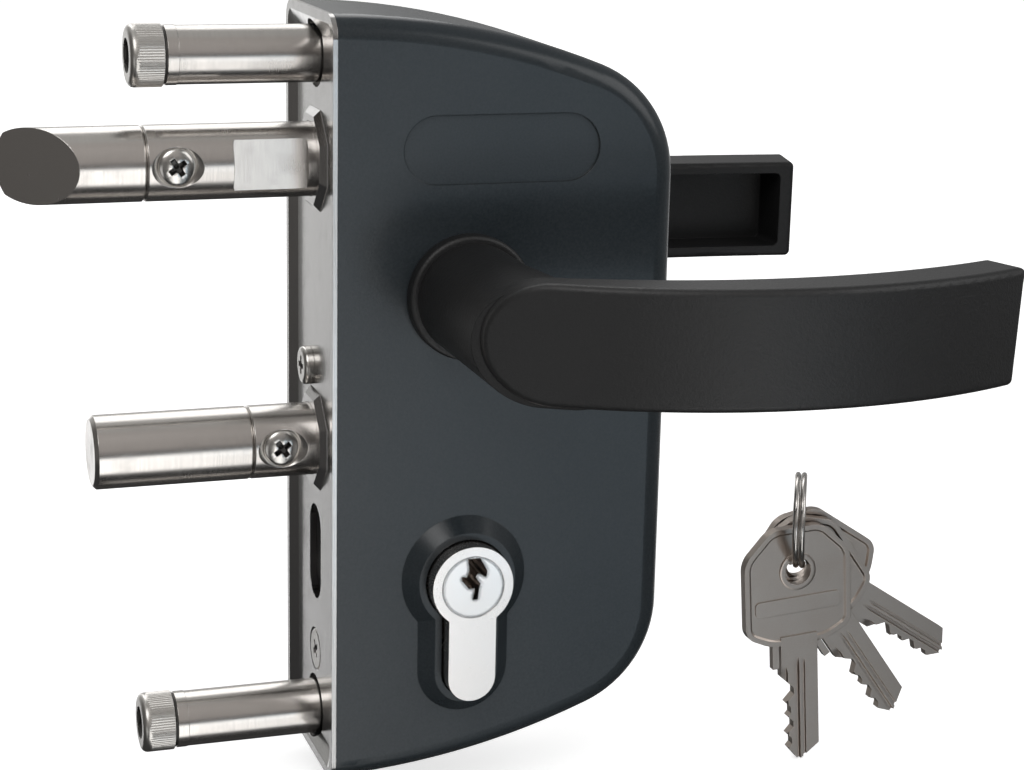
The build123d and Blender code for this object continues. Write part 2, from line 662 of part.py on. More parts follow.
def deadbolt_head():
    """Round dead bolt head with a square end."""
    return bolt_head(DEADBOLT_TIP_X, DEADBOLT_SEAM_X, BOLT_Z) + tang(DEADBOLT_SEAM_X, BOLT_Z)


def deadbolt_tail():
    """Plate under the dead bolt shank with the wide notch that the cam drives."""
    half = TAIL_PLATE / 2
    bottom = TAIL_PLATE_BOTTOM_Z
    rail_top = BOLT_Z - BOLT_R - FIT_GAP
    left_x = NOTCH_X - NOTCH_HALF
    right_x = NOTCH_X + NOTCH_HALF
    tail = block(SHANK_END_X, TAIL_PLATE_END_X, -half, half, bottom, TAIL_PLATE_TOP_Z)
    tail += block(left_x - HORN_THICKNESS, SHANK_END_X, -half, half, bottom, rail_top)
    tail += block(left_x - HORN_THICKNESS, left_x, -half, half, bottom - HORN_DROP, bottom)
    tail += block(right_x, right_x + 2 * HORN_THICKNESS, -half, half, bottom - HORN_DROP, bottom)
    return tail - rod_y(PIN_R + FIT_GAP, -half, half, PIN_X, BOLT_Z)


def deadbolt_pin():
    """Pin through the tail that runs in the slots of the two plates."""
    return rod_y(PIN_R, -CHEEK_OUT, CHEEK_OUT, PIN_X, BOLT_Z)


def cylinder_body():
    """Profile cylinder, bored from both ends and cut out in the middle for the cam."""
    half = CYLINDER_LENGTH / 2
    body = slab(profile_outline(0), -half, half)
    body -= rod_y(PLUG_R + FIT_GAP, -half, half, BACKSET, CYLINDER_Z)
    side = CAM_SLOT / 2
    body -= block(0, 2 * BACKSET, -side, side, CYLINDER_Z - CAM_SPACE, CYLINDER_Z + CAM_SPACE)
    screw_z = CYLINDER_Z - FIXING_HOLE_DROP
    return body - rod_x(CYLINDER_SCREW_R + FIT_GAP, 0, 2 * BACKSET, 0, screw_z)


def keyway_outline():
    """Warded keyway, from the top of the plug down past its middle."""
    corners = [
        (-1.2, 6.1), (1.3, 6.1), (2.2, 4.6), (2.9, 3.2), (2.6, 2.0), (1.0, 2.9), (0.4, 2.2),
        (1.5, 0.6), (1.2, 0.0), (0.9, -2.6), (-0.1, -2.6), (0.3, -0.2), (-1.0, -0.2),
        (-2.4, 1.6), (-2.5, 2.4), (-1.4, 2.2), (-0.9, 3.8),
    ]
    return Pos(BACKSET, CYLINDER_Z) * Polygon(*corners, align=None)


def front_plug():
    """Front plug with the keyway."""
    half = CYLINDER_LENGTH / 2
    plug = rod_y(PLUG_R, -half, -CAM_SLOT / 2, BACKSET, CYLINDER_Z)
    return plug - slab(keyway_outline(), -half, -CAM_SLOT)


def cam():
    """Cam ring between the plugs, with the finger that throws the dead bolt."""
    side = CAM_SLOT / 2
    ring = rod_y(CAM_R, -side, side, BACKSET, CYLINDER_Z)
    finger_end = CYLINDER_Z - CAM_REACH
    finger = block(BACKSET - CAM_FINGER / 2, BACKSET + CAM_FINGER / 2, -side + FIT_GAP, side - FIT_GAP,
                   finger_end, CYLINDER_Z)
    finger = fillet(finger.edges().filter_by(Axis.Y).group_by(Axis.Z)[0], CAM_FINGER / 5)
    return ring + finger


def rose():
    """Front rose: round ring that the neck of the handle turns in."""
    ring = rod_y(ROSE_R, -HALF_DEPTH - ROSE_HEIGHT, -HALF_DEPTH, BACKSET, SPINDLE_Z)
    ring = fillet(ring.edges().group_by(Axis.Y)[0], ROSE_HEIGHT / 4)
    return ring - rod_y(SPIGOT_R + RUNNING_GAP, -HALF_DEPTH - ROSE_HEIGHT, -HALF_DEPTH, BACKSET, SPINDLE_Z)


def grip_band(face, back, tip_x, wall):
    """Bowed strip seen from above, from wall inside the outer face to the inner face.

    face and back give the distance from the mid-plane at the spindle end, the middle and the tip.
    """
    places = [BACKSET - NECK_R - SHEET, (BACKSET + tip_x) / 2, tip_x]
    outer_points = [(x, wall - out) for x, out in zip(places, face)]
    inner_points = [(x, -out) for x, out in zip(places, back)]
    inner_points[2] = (tip_x - TIP_SKEW, -back[2])
    sides = [Line(outer_points[i], inner_points[i]) for i in (0, 2)]
    return make_face([ThreePointArc(*outer_points), ThreePointArc(*inner_points)] + sides)


def grip_side(tip_x):
    """Side view of the grip: round end over the spindle, slanted end at the tip."""
    half = GRIP_HALF_HEIGHT
    end_x = BACKSET + GRIP_END_SHIFT
    body = Polygon((0, -half), (tip_x - end_x - TIP_SLANT, -half), (tip_x - end_x, half), (0, half),
                   align=None)
    return Pos(end_x, GRIP_Z) * (body + Circle(half))


def handle(face, back, tip_x, neck_out, spindle_out):
    """Moulded handle at the front: spigot, round neck and a bowed grip, hollow at its back."""
    low = GRIP_Z - 2 * GRIP_HALF_HEIGHT
    height = 4 * GRIP_HALF_HEIGHT
    far_out = max(face) + SHEET
    grip = extrude(Pos(0, 0, low) * grip_band(face, back, tip_x, 0), height)
    grip = grip & slab(grip_side(tip_x), -far_out, -HALF_DEPTH)
    grip = fillet(grip.edges(), GRIP_EDGE_R)
    pocket_half = GRIP_HALF_HEIGHT - GRIP_WALL
    hollow = block(BACKSET + POCKET_START, tip_x - GRIP_WALL - TIP_SLANT / 2 - TIP_SKEW, -far_out,
                   -HALF_DEPTH, GRIP_Z - pocket_half, GRIP_Z + pocket_half)
    hollow = fillet(hollow.edges().filter_by(Axis.Y), GRIP_EDGE_R)
    open_back = [out - max(face) for out in back]
    behind_face = extrude(Pos(0, 0, low) * grip_band(face, open_back, tip_x, GRIP_WALL), height)
    solid = grip - (hollow & behind_face) + (neck(neck_out, far_out) & behind_face)
    solid -= spindle_hole(-spindle_out - FIT_GAP, -HALF_DEPTH + SPIGOT_DEPTH)
    return solid - rod_z(GRUB_R + FIT_GAP, SPINDLE_Z - NECK_R, SPINDLE_Z, BACKSET, -GRUB_OUT)


def neck(flare_out, end_out):
    """Spigot and round neck, which flares a little towards the grip."""
    rose_out = HALF_DEPTH + ROSE_HEIGHT + HANDLE_GAP
    flares = [FIT_GAP, NECK_FLARE / 2, NECK_FLARE, NECK_FLARE]
    places = [flare_out - NECK_FLARE_LENGTH, flare_out - NECK_FLARE_LENGTH / 3, flare_out, end_out]
    sections = [
        Pos(0, -place, 0) * (Plane.XZ * neck_section(flare)) for place, flare in zip(places, flares)
    ]
    solid = loft(sections, ruled=True)
    solid += rod_y(NECK_R, -places[0], -rose_out, BACKSET, SPINDLE_Z)
    return solid + rod_y(SPIGOT_R, -rose_out, -HALF_DEPTH + SPIGOT_DEPTH, BACKSET, SPINDLE_Z)


def neck_section(length):
    """Section of the neck: a slot whose far end moves away from the spindle by length."""
    return Pos(BACKSET + length / 2, SPINDLE_Z) * SlotCenterToCenter(length, 2 * NECK_R)


def front_handle():
    """Front lever."""
    return handle(FRONT_GRIP_FACE, FRONT_GRIP_BACK, FRONT_GRIP_TIP_X, FRONT_NECK_OUT, SPINDLE_FRONT_OUT)


def rear_handle():
    """Rear handle, a straighter and deeper paddle, hollow towards the gate."""
    front = handle(REAR_GRIP_FACE, REAR_GRIP_BACK, REAR_GRIP_TIP_X, REAR_NECK_OUT, SPINDLE_REAR_OUT)
    return mirror(front, Plane.XZ)


def grub_screw():
    """Front grub screw that clamps the handle on the spindle."""
    low = SPINDLE_Z - NECK_R + SHEET
    screw = rod_z(GRUB_R, low, SPINDLE_Z - SQUARE / 2, BACKSET, -GRUB_OUT)
    socket = RegularPolygon(GRUB_R / 2, 6, major_radius=False)
    return screw - Pos(BACKSET, -GRUB_OUT, low) * extrude(socket, GRUB_R)


def key_head():
    """Key head seen flat, with its hole at the origin."""
    half = KEY_HEAD_WIDTH / 2
    top = KEY_HEAD_TOP
    bottom = -KEY_HEAD_BOTTOM
    head = Polygon(
        (-half + KEY_TOP_CUT, top), (half - KEY_TOP_CUT, top), (half, top - KEY_TOP_CUT),
        (half, bottom + KEY_BOTTOM_CUT / 2), (half - KEY_BOTTOM_CUT, bottom),
        (KEY_BOTTOM_CUT - half, bottom), (-half, bottom + KEY_BOTTOM_CUT / 2),
        (-half, top - KEY_TOP_CUT), align=None,
    )
    return fillet(head.vertices(), KEY_CORNER_R) - Circle(KEY_HOLE_R)


def key_blade():
    """Key blade seen flat, pointing down from the head, with its cuts at the left."""
    bottom = -KEY_HEAD_BOTTOM
    blade = KEY_BLADE_WIDTH / 2
    tip = bottom - KEY_BLADE_LENGTH
    edge = [(depth - blade, bottom - place) for place, depth in KEY_CUTS]
    return Polygon(
        (-blade, bottom + KEY_CORNER_R), *edge, (-blade / 4, tip), (0, tip), (blade, tip + KEY_TIP),
        (blade, bottom + KEY_CORNER_R), align=None,
    )


def key(index):
    """One flat key with two long grooves, turned about the ring."""
    half = KEY_THICKNESS / 2
    solid = slab(key_head(), -half, half) + slab(key_blade(), -half, half)
    low = -KEY_HEAD_BOTTOM - KEY_BLADE_LENGTH - KEY_TIP
    for x in (-KEY_GROOVE / 2, KEY_GROOVE * 2):
        solid -= block(x, x + KEY_GROOVE, -half, KEY_GROOVE_DEPTH - half, low, -KEY_HEAD_BOTTOM)
    solid -= block(-KEY_GROOVE, KEY_GROOVE, half - KEY_GROOVE_DEPTH, half, low, -KEY_HEAD_BOTTOM)
    step = KEY_SPACING * index
    shift = step * math.tan(math.radians(RING_TURN))
    return Pos(KEY_X + shift, KEY_Y + step, KEY_Z) * Rot(0, -KEY_TURNS[index], 0) * solid


def key_ring():
    """Split ring of two coils through the holes of the keys."""
    coils = [Pos(0, 0, z) * Torus(RING_R, RING_WIRE_R) for z in (-RING_COIL_GAP / 2, RING_COIL_GAP / 2)]
    ring = Rot(0, 90, 0) * (coils[0] + coils[1])
    place = Pos(KEY_X + KEY_SPACING * math.tan(math.radians(RING_TURN)), KEY_Y + KEY_SPACING,
                KEY_Z + RING_RISE + RING_R)
    return place * Rot(0, 0, -RING_TURN) * ring


def group(solids):
    """Like pieces as separate solids in one file."""
    return Compound(children=[Solid(s.solid().wrapped) for s in solids])


PIECES = {
    "forend_tray": forend_tray,
    "front_cover": front_cover,
    "rear_cover": rear_cover,
    "latch_guide": lambda: bolt_guide(LATCH_Z),
    "deadbolt_guide": lambda: bolt_guide(BOLT_Z),
    "fixing_screws": lambda: group([fixing_screw(z) for z in (FIXING_Z, -FIXING_Z)]),
    "fixing_washers": lambda: group([fixing_washer(z) for z in (FIXING_Z, -FIXING_Z)]),
    "fixing_sleeves": lambda: group([fixing_sleeve(z) for z in (FIXING_Z, -FIXING_Z)]),
    "anchor_blocks": lambda: group([anchor_block(side) for side in (1, -1)]),
    "tray_screw": tray_screw,
    "tray_block": tray_block,
    "cylinder_screw": cylinder_screw,
    "mechanism_plates": lambda: group([mechanism_plate(), mirror(mechanism_plate(), Plane.XZ)]),
    "standoffs": lambda: group([standoff(x, z) for x, z in STANDOFF_PLACES]),
    "cover_screws": lambda: group([cover_screw(x, z) for x, z in STANDOFF_PLACES]),
    "spring_stop": spring_stop,
    "spring_seat": spring_seat,
    "follower": follower,
    "spindle": spindle,
    "return_spring": return_spring,
    "latch_head": latch_head,
    "latch_shank": latch_shank,
    "latch_screw": lambda: bolt_screw(LATCH_SEAM_X, LATCH_Z),
    "latch_tail": latch_tail,
    "latch_spring": latch_spring,
    "deadbolt_head": deadbolt_head,
    "deadbolt_shank": lambda: bolt_shank(DEADBOLT_SEAM_X, BOLT_Z),
    "deadbolt_screw": lambda: bolt_screw(DEADBOLT_SEAM_X, BOLT_Z),
    "deadbolt_tail": deadbolt_tail,
    "deadbolt_pin": deadbolt_pin,
    "cylinder_body": cylinder_body,
    "front_plug": front_plug,
    "rear_plug": lambda: mirror(front_plug(), Plane.XZ),
    "cam": cam,
    "front_rose": rose,
    "rear_rose": lambda: mirror(rose(), Plane.XZ),
    "front_handle": front_handle,
    "rear_handle": rear_handle,
    "grub_screws": lambda: group([grub_screw(), mirror(grub_screw(), Plane.XZ)]),
    "key_1": lambda: key(0),
    "key_2": lambda: key(1),
    "key_3": lambda: key(2),
    "key_ring": key_ring,
}

for name, make in PIECES.items():
    export_step(make(), f"parts/{name}.step")
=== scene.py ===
"""Looks of a surface-mounted gate lock, laid out as an add-on and run as a script.

Every place is in metres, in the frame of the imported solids: x = 0 lies on the post,
the lever and the keyed side look along -Y, and +Z is up.
"""
import math

import bmesh
import bpy
from bpy.props import FloatProperty, FloatVectorProperty, IntProperty, PointerProperty
from mathutils import Matrix, Vector


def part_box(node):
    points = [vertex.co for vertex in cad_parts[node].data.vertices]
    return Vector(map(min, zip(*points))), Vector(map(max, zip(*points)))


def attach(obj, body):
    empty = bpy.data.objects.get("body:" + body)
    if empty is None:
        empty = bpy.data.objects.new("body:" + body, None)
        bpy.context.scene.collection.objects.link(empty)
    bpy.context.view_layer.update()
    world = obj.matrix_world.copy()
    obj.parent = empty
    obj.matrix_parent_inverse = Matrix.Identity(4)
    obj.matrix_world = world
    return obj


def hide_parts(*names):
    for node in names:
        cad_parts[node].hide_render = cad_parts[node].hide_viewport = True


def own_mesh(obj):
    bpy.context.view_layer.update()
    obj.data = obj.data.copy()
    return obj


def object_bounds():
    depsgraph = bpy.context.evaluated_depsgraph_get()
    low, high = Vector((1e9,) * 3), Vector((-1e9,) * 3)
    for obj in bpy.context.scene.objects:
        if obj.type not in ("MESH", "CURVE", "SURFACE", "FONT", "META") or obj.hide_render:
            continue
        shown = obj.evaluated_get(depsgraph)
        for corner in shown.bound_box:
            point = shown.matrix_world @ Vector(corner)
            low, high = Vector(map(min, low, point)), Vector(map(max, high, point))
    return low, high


bl_info = {
    "name": "Gate lock looks",
    "version": (1, 0, 0),
    "blender": (4, 5, 0),
    "location": "3D View > Sidebar > Gate lock",
    "description": "Finishes, keys, springs, screws and studio for a gate lock",
    "category": "Add Mesh",
}

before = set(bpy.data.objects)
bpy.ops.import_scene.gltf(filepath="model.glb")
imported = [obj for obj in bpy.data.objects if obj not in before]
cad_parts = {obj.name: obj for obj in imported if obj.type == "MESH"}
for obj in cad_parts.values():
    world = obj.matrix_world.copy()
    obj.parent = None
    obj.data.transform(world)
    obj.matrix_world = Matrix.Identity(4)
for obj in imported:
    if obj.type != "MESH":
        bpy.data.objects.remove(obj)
cad_low, cad_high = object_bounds()

MM = 0.001

# Solids that are carried over, by their finish
COATED = ("front_cover", "rear_cover")
PLASTIC = ("front_handle", "front_rose")
# The rear handle and rose are the same polyamide with less specular, as painted shade
REAR_PLASTIC = ("rear_handle", "rear_rose")
TURNED = ("latch_head", "latch_shank", "deadbolt_head", "deadbolt_shank", "fixing_sleeves",
          "fixing_washers")
SHEET_STEEL = ("forend_tray", "latch_guide", "deadbolt_guide")
GRUB_SCREWS = ("grub_screws",)
NICKEL = ("cylinder_body",)
PLUGS = ("front_plug", "rear_plug")
PLATES = ("mechanism_plates", "spring_stop", "spring_seat", "standoffs", "tray_block",
          "anchor_blocks")
WORKING_PARTS = ("cam", "follower", "latch_tail", "deadbolt_tail", "deadbolt_pin")
BARS = ("spindle",)

# Flat faces round a turned piece
ROUND_SIDES = 48
# How far a cutting tool stands past what it cuts
SPARE = 2 * MM

# Faces that meet at less than this many degrees are shaded as one surface
SMOOTH_ANGLE = 32

# Keys: the first one's hole, and how far each hangs from upright in degrees
KEY_PLACE = (102.5 * MM, -20.0 * MM, -41.0 * MM)
KEY_TURNS = (4.3, 35.5, 57.0)
KEY_EDGE = 0.12 * MM
# Notches in millimetres: place below the head, and depth
KEY_NOTCHES = ((10.9, 2.9), (15.3, 2.1), (18.7, 2.6), (22.6, 2.2))
# Grooves in millimetres: left edge, width, side (-1 is the front), start below the head, depth
KEY_GROOVES = (
    (-1.1, 1.25, -1, 5.0, 0.75), (0.35, 1.15, -1, 5.0, 0.5), (-4.9, 2.6, -1, 6.5, 0.55),
    (-0.6, 1.3, 1, 4.0, 0.6), (1.9, 1.0, 1, 4.0, 0.5),
)
# Width of a groove's floor and of its pointed start, as shares of its mouth and its floor
GROOVE_FLOOR = 0.45
GROOVE_POINT = 0.08
GROOVE_RUN_OUT = 5 * MM
# Which way the two slopes at the tip of a blade face
BACK_SLOPE = (3, 0, -4.3)
NOTCH_SLOPE = (-3.4, 0, -2.6)
# How far the blade and its shoulder reach into the head, and the bare bar lies below its border
BLADE_ROOT = 2 * MM
LUG_ROOT = 1.5 * MM
PLATE_SINK = 0.02 * MM
# Shares: rounding of the bar's corners of its height, shoulder of the key's thickness, loop of
# the eye's wall, and rise of a groove's end of the key's thickness
PLATE_CORNER = 0.3
LUG_THICKNESS = 0.8
EYE_LOOP = 0.45
GROOVE_RISE = 0.8

# Screws: broken edges, and upright rim of a domed head
SCREW_EDGE = 0.06 * MM
SOCKET_EDGE = 0.05 * MM
DOME_EDGE = 0.12 * MM
# Slope of a flat head's broken edge: how far it comes in as a share of its height
RIM_SLOPE = 1.3
# Points of the small screws and of the fixing screws: width and rise as shares of the shank
SMALL_POINT = (0.72, 0.3)
FIXING_POINT = (0.8, 0.25)
# Driver for a cross recess: foot of a wing as shares of its length and width, and its core as
# shares of a wing's width and of the recess's depth
WING_FOOT = (0.5, 0.7)
CROSS_CORE = ((0.15, -1.35), (0.62, -0.7), (0.95, 1))
# Foot of a knurled head, as distance in from its side and height, and plain collar at its top
CAP_FOOT = ((0.6 * MM, 0), (0.6 * MM, 0.35 * MM), (0, 0.6 * MM), (0, 1.1 * MM))
CAP_COLLAR = 0.6 * MM
# Rolled rim of a knurled head, as a share of its radius
CAP_RIM = 0.2
# Lead-in of the hexagon socket: radius as a share of its flats, and height
SOCKET_LEAD = ((0.45, -0.8 * MM), (0.62, 0.3 * MM), (0.62, 1.0 * MM))
# Points up a domed head and up a round shoulder, as turns from its foot in radians
DOME_TURNS = (0.35, 0.7, 1.05, 1.35)
ROUND_TURNS = (0.4, 0.8, 1.2, math.pi / 2)
CROSS_TURN = math.radians(35)
# Painted shade in a driver recess: start below the face of a head, reach and depth as shares of
# the cross and of the socket, and roughness
RECESS_START = 0.12 * MM
CROSS_DARK = (0.55, 1.4)
SOCKET_DARK = (0.6, 1.1)
RECESS_ROUGHNESS = 0.5
# Painted shade in the groove under a knurled head: inner side as a share of its radius, half its height
GROOVE_START = 0.85
GROOVE_HALF = 0.5 * MM
# Size of a knurled head at the floor of its knurls, as a share of the whole
KNURL_FLOOR = 0.984

# Springs and ring: flat faces round the wire, faces along a turn of a spring and of the ring,
# rise of a closed turn in wire radii, and of a turn of the ring in wires
WIRE_SIDES = 12
SPRING_STEPS = 40
RING_STEPS = 64
CLOSED_PITCH = 2.02
RING_PITCH = 1.04

# Brightness of the floor, of the soft light and of what the metal mirrors: 1 renders as white
FLOOR_GLOW = 0.68
WORLD_SOFT = 0.36
BACKDROP = (0.50, 0.50, 0.49)
BACKDROP_SIDE = (0.28, 0.28, 0.28)
ROOM_LOW = (0.13, 0.125, 0.12)
ROOM_HIGH = (0.46, 0.435, 0.42)
ROOM_SIDE = (0.20, 0.20, 0.20)
UNDER = (0.05, 0.05, 0.05)
SOFT_BOX = (2.4, 2.38, 2.35)
END_BOX = (1.5, 1.5, 1.5)
FAR_BOX = (0.75, 0.75, 0.75)
SIDE_BOX = (1.40, 1.70, 1.95)

# Studio: the floor, and each lamp's name, place and watts
FLOOR_SIZE = 12
FLOOR_GAP = 0.2 * MM
LAMP_SIZE = 1.0
LAMPS = (
    ("key_light", (-0.7, -1.0, 1.3), 8),
    ("fill_light", (1.1, -0.8, 0.7), 5),
    ("back_light", (0.1, 1.1, 1.0), 5),
)
# Camera of the photograph: millimetres for the lens, metres for the place, turns in radians
LENS = 81.17
SENSOR_WIDTH = 36
CAMERA_PLACE = (-0.1063592, -0.4468464, 0.120570)
YAW, PITCH, ROLL = 0.3244, 0.2532, 0.0222


# Settings


def length_setting(name, description, default):
    """A length that a user would change, in metres."""
    return FloatProperty(name=name, description=description, default=default, unit="LENGTH")


def count_setting(name, description, default, least):
    """A number of like things that a user would change."""
    return IntProperty(name=name, description=description, default=default, min=least)


def colour_setting(name, description, default):
    """A colour that a user would change."""
    return FloatVectorProperty(name=name, description=description, default=default, subtype="COLOR")


# Finishes


class Amount:
    """A number that varies over a surface, used in sums like a plain number."""

    def __init__(self, recipe, socket):
        self.recipe = recipe
        self.socket = socket

    def worked(self, operation, first, second):
        node = self.recipe.node("ShaderNodeMath", {"operation": operation}, {0: first, 1: second})
        return Amount(self.recipe, node.outputs[0])

    def __add__(self, other):
        return self.worked("ADD", self, other)

    __radd__ = __add__

    def __sub__(self, other):
        return self.worked("SUBTRACT", self, other)

    def __rsub__(self, other):
        return self.worked("SUBTRACT", other, self)

    def __mul__(self, other):
        return self.worked("MULTIPLY", self, other)

    __rmul__ = __mul__

    def swing(self, share):
        """The noise round 0, with only a share of its height."""
        return (self - 0.5) * share

    def step(self, low, high):
        """0 up to low and 1 from high, with a smooth rise between them."""
        node = self.recipe.node(
            "ShaderNodeMapRange",
            {"interpolation_type": "SMOOTHSTEP"},
            {"Value": self, "From Min": low, "From Max": high},
        )
        return Amount(self.recipe, node.outputs["Result"])

    def band(self, rise, full, fade, end):
        """1 between full and fade, and 0 up to rise and from end."""
        return self.step(rise, full) * (1 - self.step(fade, end))


class Recipe:
    """Nodes that are mixed into a material or the world."""

    def __init__(self, owner):
        owner.use_nodes = True
        self.tree = owner.node_tree
        self.tree.nodes.clear()

    def node(self, kind, settings=None, inputs=None):
        """Adds a node, sets its settings first and then feeds its sockets."""
        made = self.tree.nodes.new(kind)
        for key, value in (settings or {}).items():
            setattr(made, key, value)
        for key, value in (inputs or {}).items():
            self.feed(made.inputs[key], value)
        return made

    def feed(self, socket, value):
        if isinstance(value, Amount):
            value = value.socket
        if isinstance(value, bpy.types.NodeSocket):
            self.tree.links.new(value, socket)
        else:
            socket.default_value = value

    def mixed(self, share, first, second):
        """First colour where share is 0, second where it is 1."""
        node = self.node("ShaderNodeMix", {"data_type": "RGBA"}, {0: share})
        for socket, colour in ((node.inputs[6], first), (node.inputs[7], second)):
            self.feed(socket, (*colour, 1) if isinstance(colour, tuple) else colour)
        return node.outputs[2]


class Finish(Recipe):
    """A procedural material for one kind of surface on the lock."""

    def __init__(self, name, metallic=0.0, specular=0.5):
        self.material = bpy.data.materials.new(name)
        super().__init__(self.material)
        self.shader = self.node("ShaderNodeBsdfPrincipled")
        self.shader.inputs["Metallic"].default_value = metallic
        self.shader.inputs["Specular IOR Level"].default_value = specular
        self.node("ShaderNodeOutputMaterial", {}, {"Surface": self.shader.outputs["BSDF"]})
        self.coordinates = self.node("ShaderNodeTexCoord").outputs["Object"]

    def set(self, **inputs):
        """Feeds the shader's sockets, named with _ for a space."""
        for key, value in inputs.items():
            self.feed(self.shader.inputs[key.replace("_", " ").title()], value)

    def stretched(self, stretch):
        """Object coordinates, drawn out along an axis where stretch is small."""
        if stretch == (1, 1, 1):
            return self.coordinates
        node = self.node("ShaderNodeMapping", {}, {"Vector": self.coordinates, "Scale": stretch})
        return node.outputs["Vector"]

    def noise(self, size, stretch=(1, 1, 1), detail=2.0):
        """Cloudy noise from 0 to 1 with blobs of about the given size in metres."""
        node = self.node(
            "ShaderNodeTexNoise",
            {},
            {"Vector": self.stretched(stretch), "Scale": 1 / size, "Detail": detail},
        )
        return Amount(self, node.outputs["Fac"])

    def cells(self, size):
        """Distance from the middle of the nearest of many small cells."""
        node = self.node("ShaderNodeTexVoronoi", {}, {"Vector": self.coordinates, "Scale": 1 / size})
        return Amount(self, node.outputs["Distance"])

    def softened(self, radius):
        """Surface direction with every edge rounded by radius."""
        node = self.node("ShaderNodeBevel", {"samples": 4}, {"Radius": radius})
        return node.outputs["Normal"]

    def edges(self, radius):
        """1 on sharp outer and inner edges, 0 on the open surface."""
        soft = self.softened(radius)
        hard = self.node("ShaderNodeNewGeometry").outputs["Normal"]
        node = self.node("ShaderNodeVectorMath", {"operation": "DOT_PRODUCT"}, {0: soft, 1: hard})
        return (1 - Amount(self, node.outputs["Value"])).step(0.01, 0.12)

    def relief(self, height, depth, corner):
        """Feeds the surface direction with bumps of a depth, on corners rounded by a radius."""
        inputs = {"Height": height, "Distance": depth, "Normal": self.softened(corner)}
        node = self.node("ShaderNodeBump", {}, inputs)
        self.set(normal=node.outputs["Normal"])


def darker(colour, share):
    """A colour made darker by a share of itself."""
    return tuple(part * (1 - share) for part in colour[:3])


def lighter(colour, share):
    """A colour moved a share of the way to white."""
    return tuple(part + (1 - part) * share for part in colour[:3])


def powder_coat(colour):
    """Fine-texture powder coat with a soft orange peel."""
    finish = Finish("powder_coat", specular=0.45)
    grain = finish.noise(0.45 * MM, detail=3.0)
    peel = finish.noise(2.2 * MM)
    cloud = finish.noise(30 * MM)
    shade = grain.swing(0.5) + cloud.swing(0.4) + 0.5
    finish.set(base_color=finish.mixed(shade, darker(colour, 0.25), lighter(colour, 0.035)))
    finish.set(roughness=0.20 + grain * 0.06 + cloud * 0.03)
    finish.relief(grain * 0.7 + peel * 0.5, 0.018 * MM, 0.35 * MM)
    return finish.material


def moulded_plastic(name, colour, specular):
    """Spark-eroded grain on black polyamide, a little shinier on the edges."""
    finish = Finish(name, specular=specular)
    grain = finish.noise(0.4 * MM, detail=3.0)
    pits = finish.cells(0.8 * MM)
    cloud = finish.noise(25 * MM)
    rubbed = finish.edges(0.5 * MM)
    shade = grain.swing(0.6) + cloud.swing(0.4) + 0.5
    finish.set(base_color=finish.mixed(shade, darker(colour, 0.25), lighter(colour, 0.012)))
    finish.set(roughness=0.40 + grain * 0.12 - rubbed * 0.10)
    finish.relief(grain + pits * 0.5, 0.05 * MM, 0.4 * MM)
    return finish.material


def worked_steel(name, colour, roughness, stretch, depth=0.006 * MM):
    """Bright steel with fine tool lines drawn out along one way."""
    finish = Finish(name, metallic=1.0)
    lines = finish.noise(0.22 * MM, stretch, detail=3.0)
    smear = finish.noise(14 * MM)
    stain = finish.noise(5 * MM, detail=4.0).step(0.45, 0.8)
    rubbed = finish.edges(0.3 * MM)
    shade = lines.swing(0.35) + smear.swing(0.5) + stain * 0.2 + 0.4 - rubbed * 0.3
    finish.set(base_color=finish.mixed(shade, lighter(colour, 0.12), darker(colour, 0.16)))
    finish.set(roughness=roughness + lines.swing(0.1) + smear.swing(0.1) + stain * 0.05)
    finish.relief(lines, depth, 0.18 * MM)
    return finish.material


def plated(name, colour, roughness, speckle=0.35 * MM, painted_edge_shade=None):
    """Nickel or zinc plate over metal, with painted shade along its edges where a shade colour is
    given.
    """
    finish = Finish(name, metallic=1.0)
    grain = finish.noise(speckle, detail=3.0)
    cloud = finish.noise(9 * MM, detail=3.0)
    rubbed = finish.edges(0.25 * MM)
    shade = grain.swing(0.3) + cloud.swing(0.6) + 0.5 - rubbed * 0.35
    plate = finish.mixed(shade, lighter(colour, 0.1), darker(colour, 0.15))
    if painted_edge_shade:
        # Painted shade within 1.3 mm of every edge, in gaps and hollows
        plate = finish.mixed(finish.edges(1.3 * MM), plate, painted_edge_shade)
    finish.set(base_color=plate)
    finish.set(roughness=roughness + grain.swing(0.08) + cloud.swing(0.08))
    finish.relief(grain, 0.006 * MM, 0.15 * MM)
    return finish.material


def dress(material, nodes):
    """Puts a material on carried-over solids."""
    for name in nodes:
        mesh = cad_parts[name].data
        mesh.materials.clear()
        mesh.materials.append(material)


class GateLockColours(bpy.types.PropertyGroup):
    """Colours of the finishes."""

    coating: colour_setting("Powder coat", "Covers", (0.009, 0.0165, 0.022))
    plastic: colour_setting("Polyamide", "Handles", (0.008, 0.008, 0.0085))
    bolt: colour_setting("Turned steel", "Bolts and sleeves", (0.60, 0.57, 0.54))
    tray: colour_setting("Brushed steel", "Forend tray", (0.46, 0.45, 0.44))
    screw: colour_setting("Screw steel", "Screws", (0.60, 0.58, 0.55))
    # Painted shade: dark colour put in driver recesses, under knurled heads and round the plugs
    painted_shade: colour_setting("Painted shade", "Driver recesses and seams", (0.07, 0.065, 0.06))
    nickel: colour_setting("Nickel", "Cylinder", (0.96, 0.89, 0.84))
    key: colour_setting("Key nickel", "Keys", (0.42, 0.36, 0.315))
    plate: colour_setting("Zinc plate", "Inner plates", (0.58, 0.58, 0.57))
    inner: colour_setting("Sintered steel", "Inner parts", (0.38, 0.37, 0.35))
    wire: colour_setting("Spring wire", "Springs", (0.46, 0.46, 0.46))
    floor: colour_setting("Floor", "Studio floor", (0.86, 0.86, 0.855))


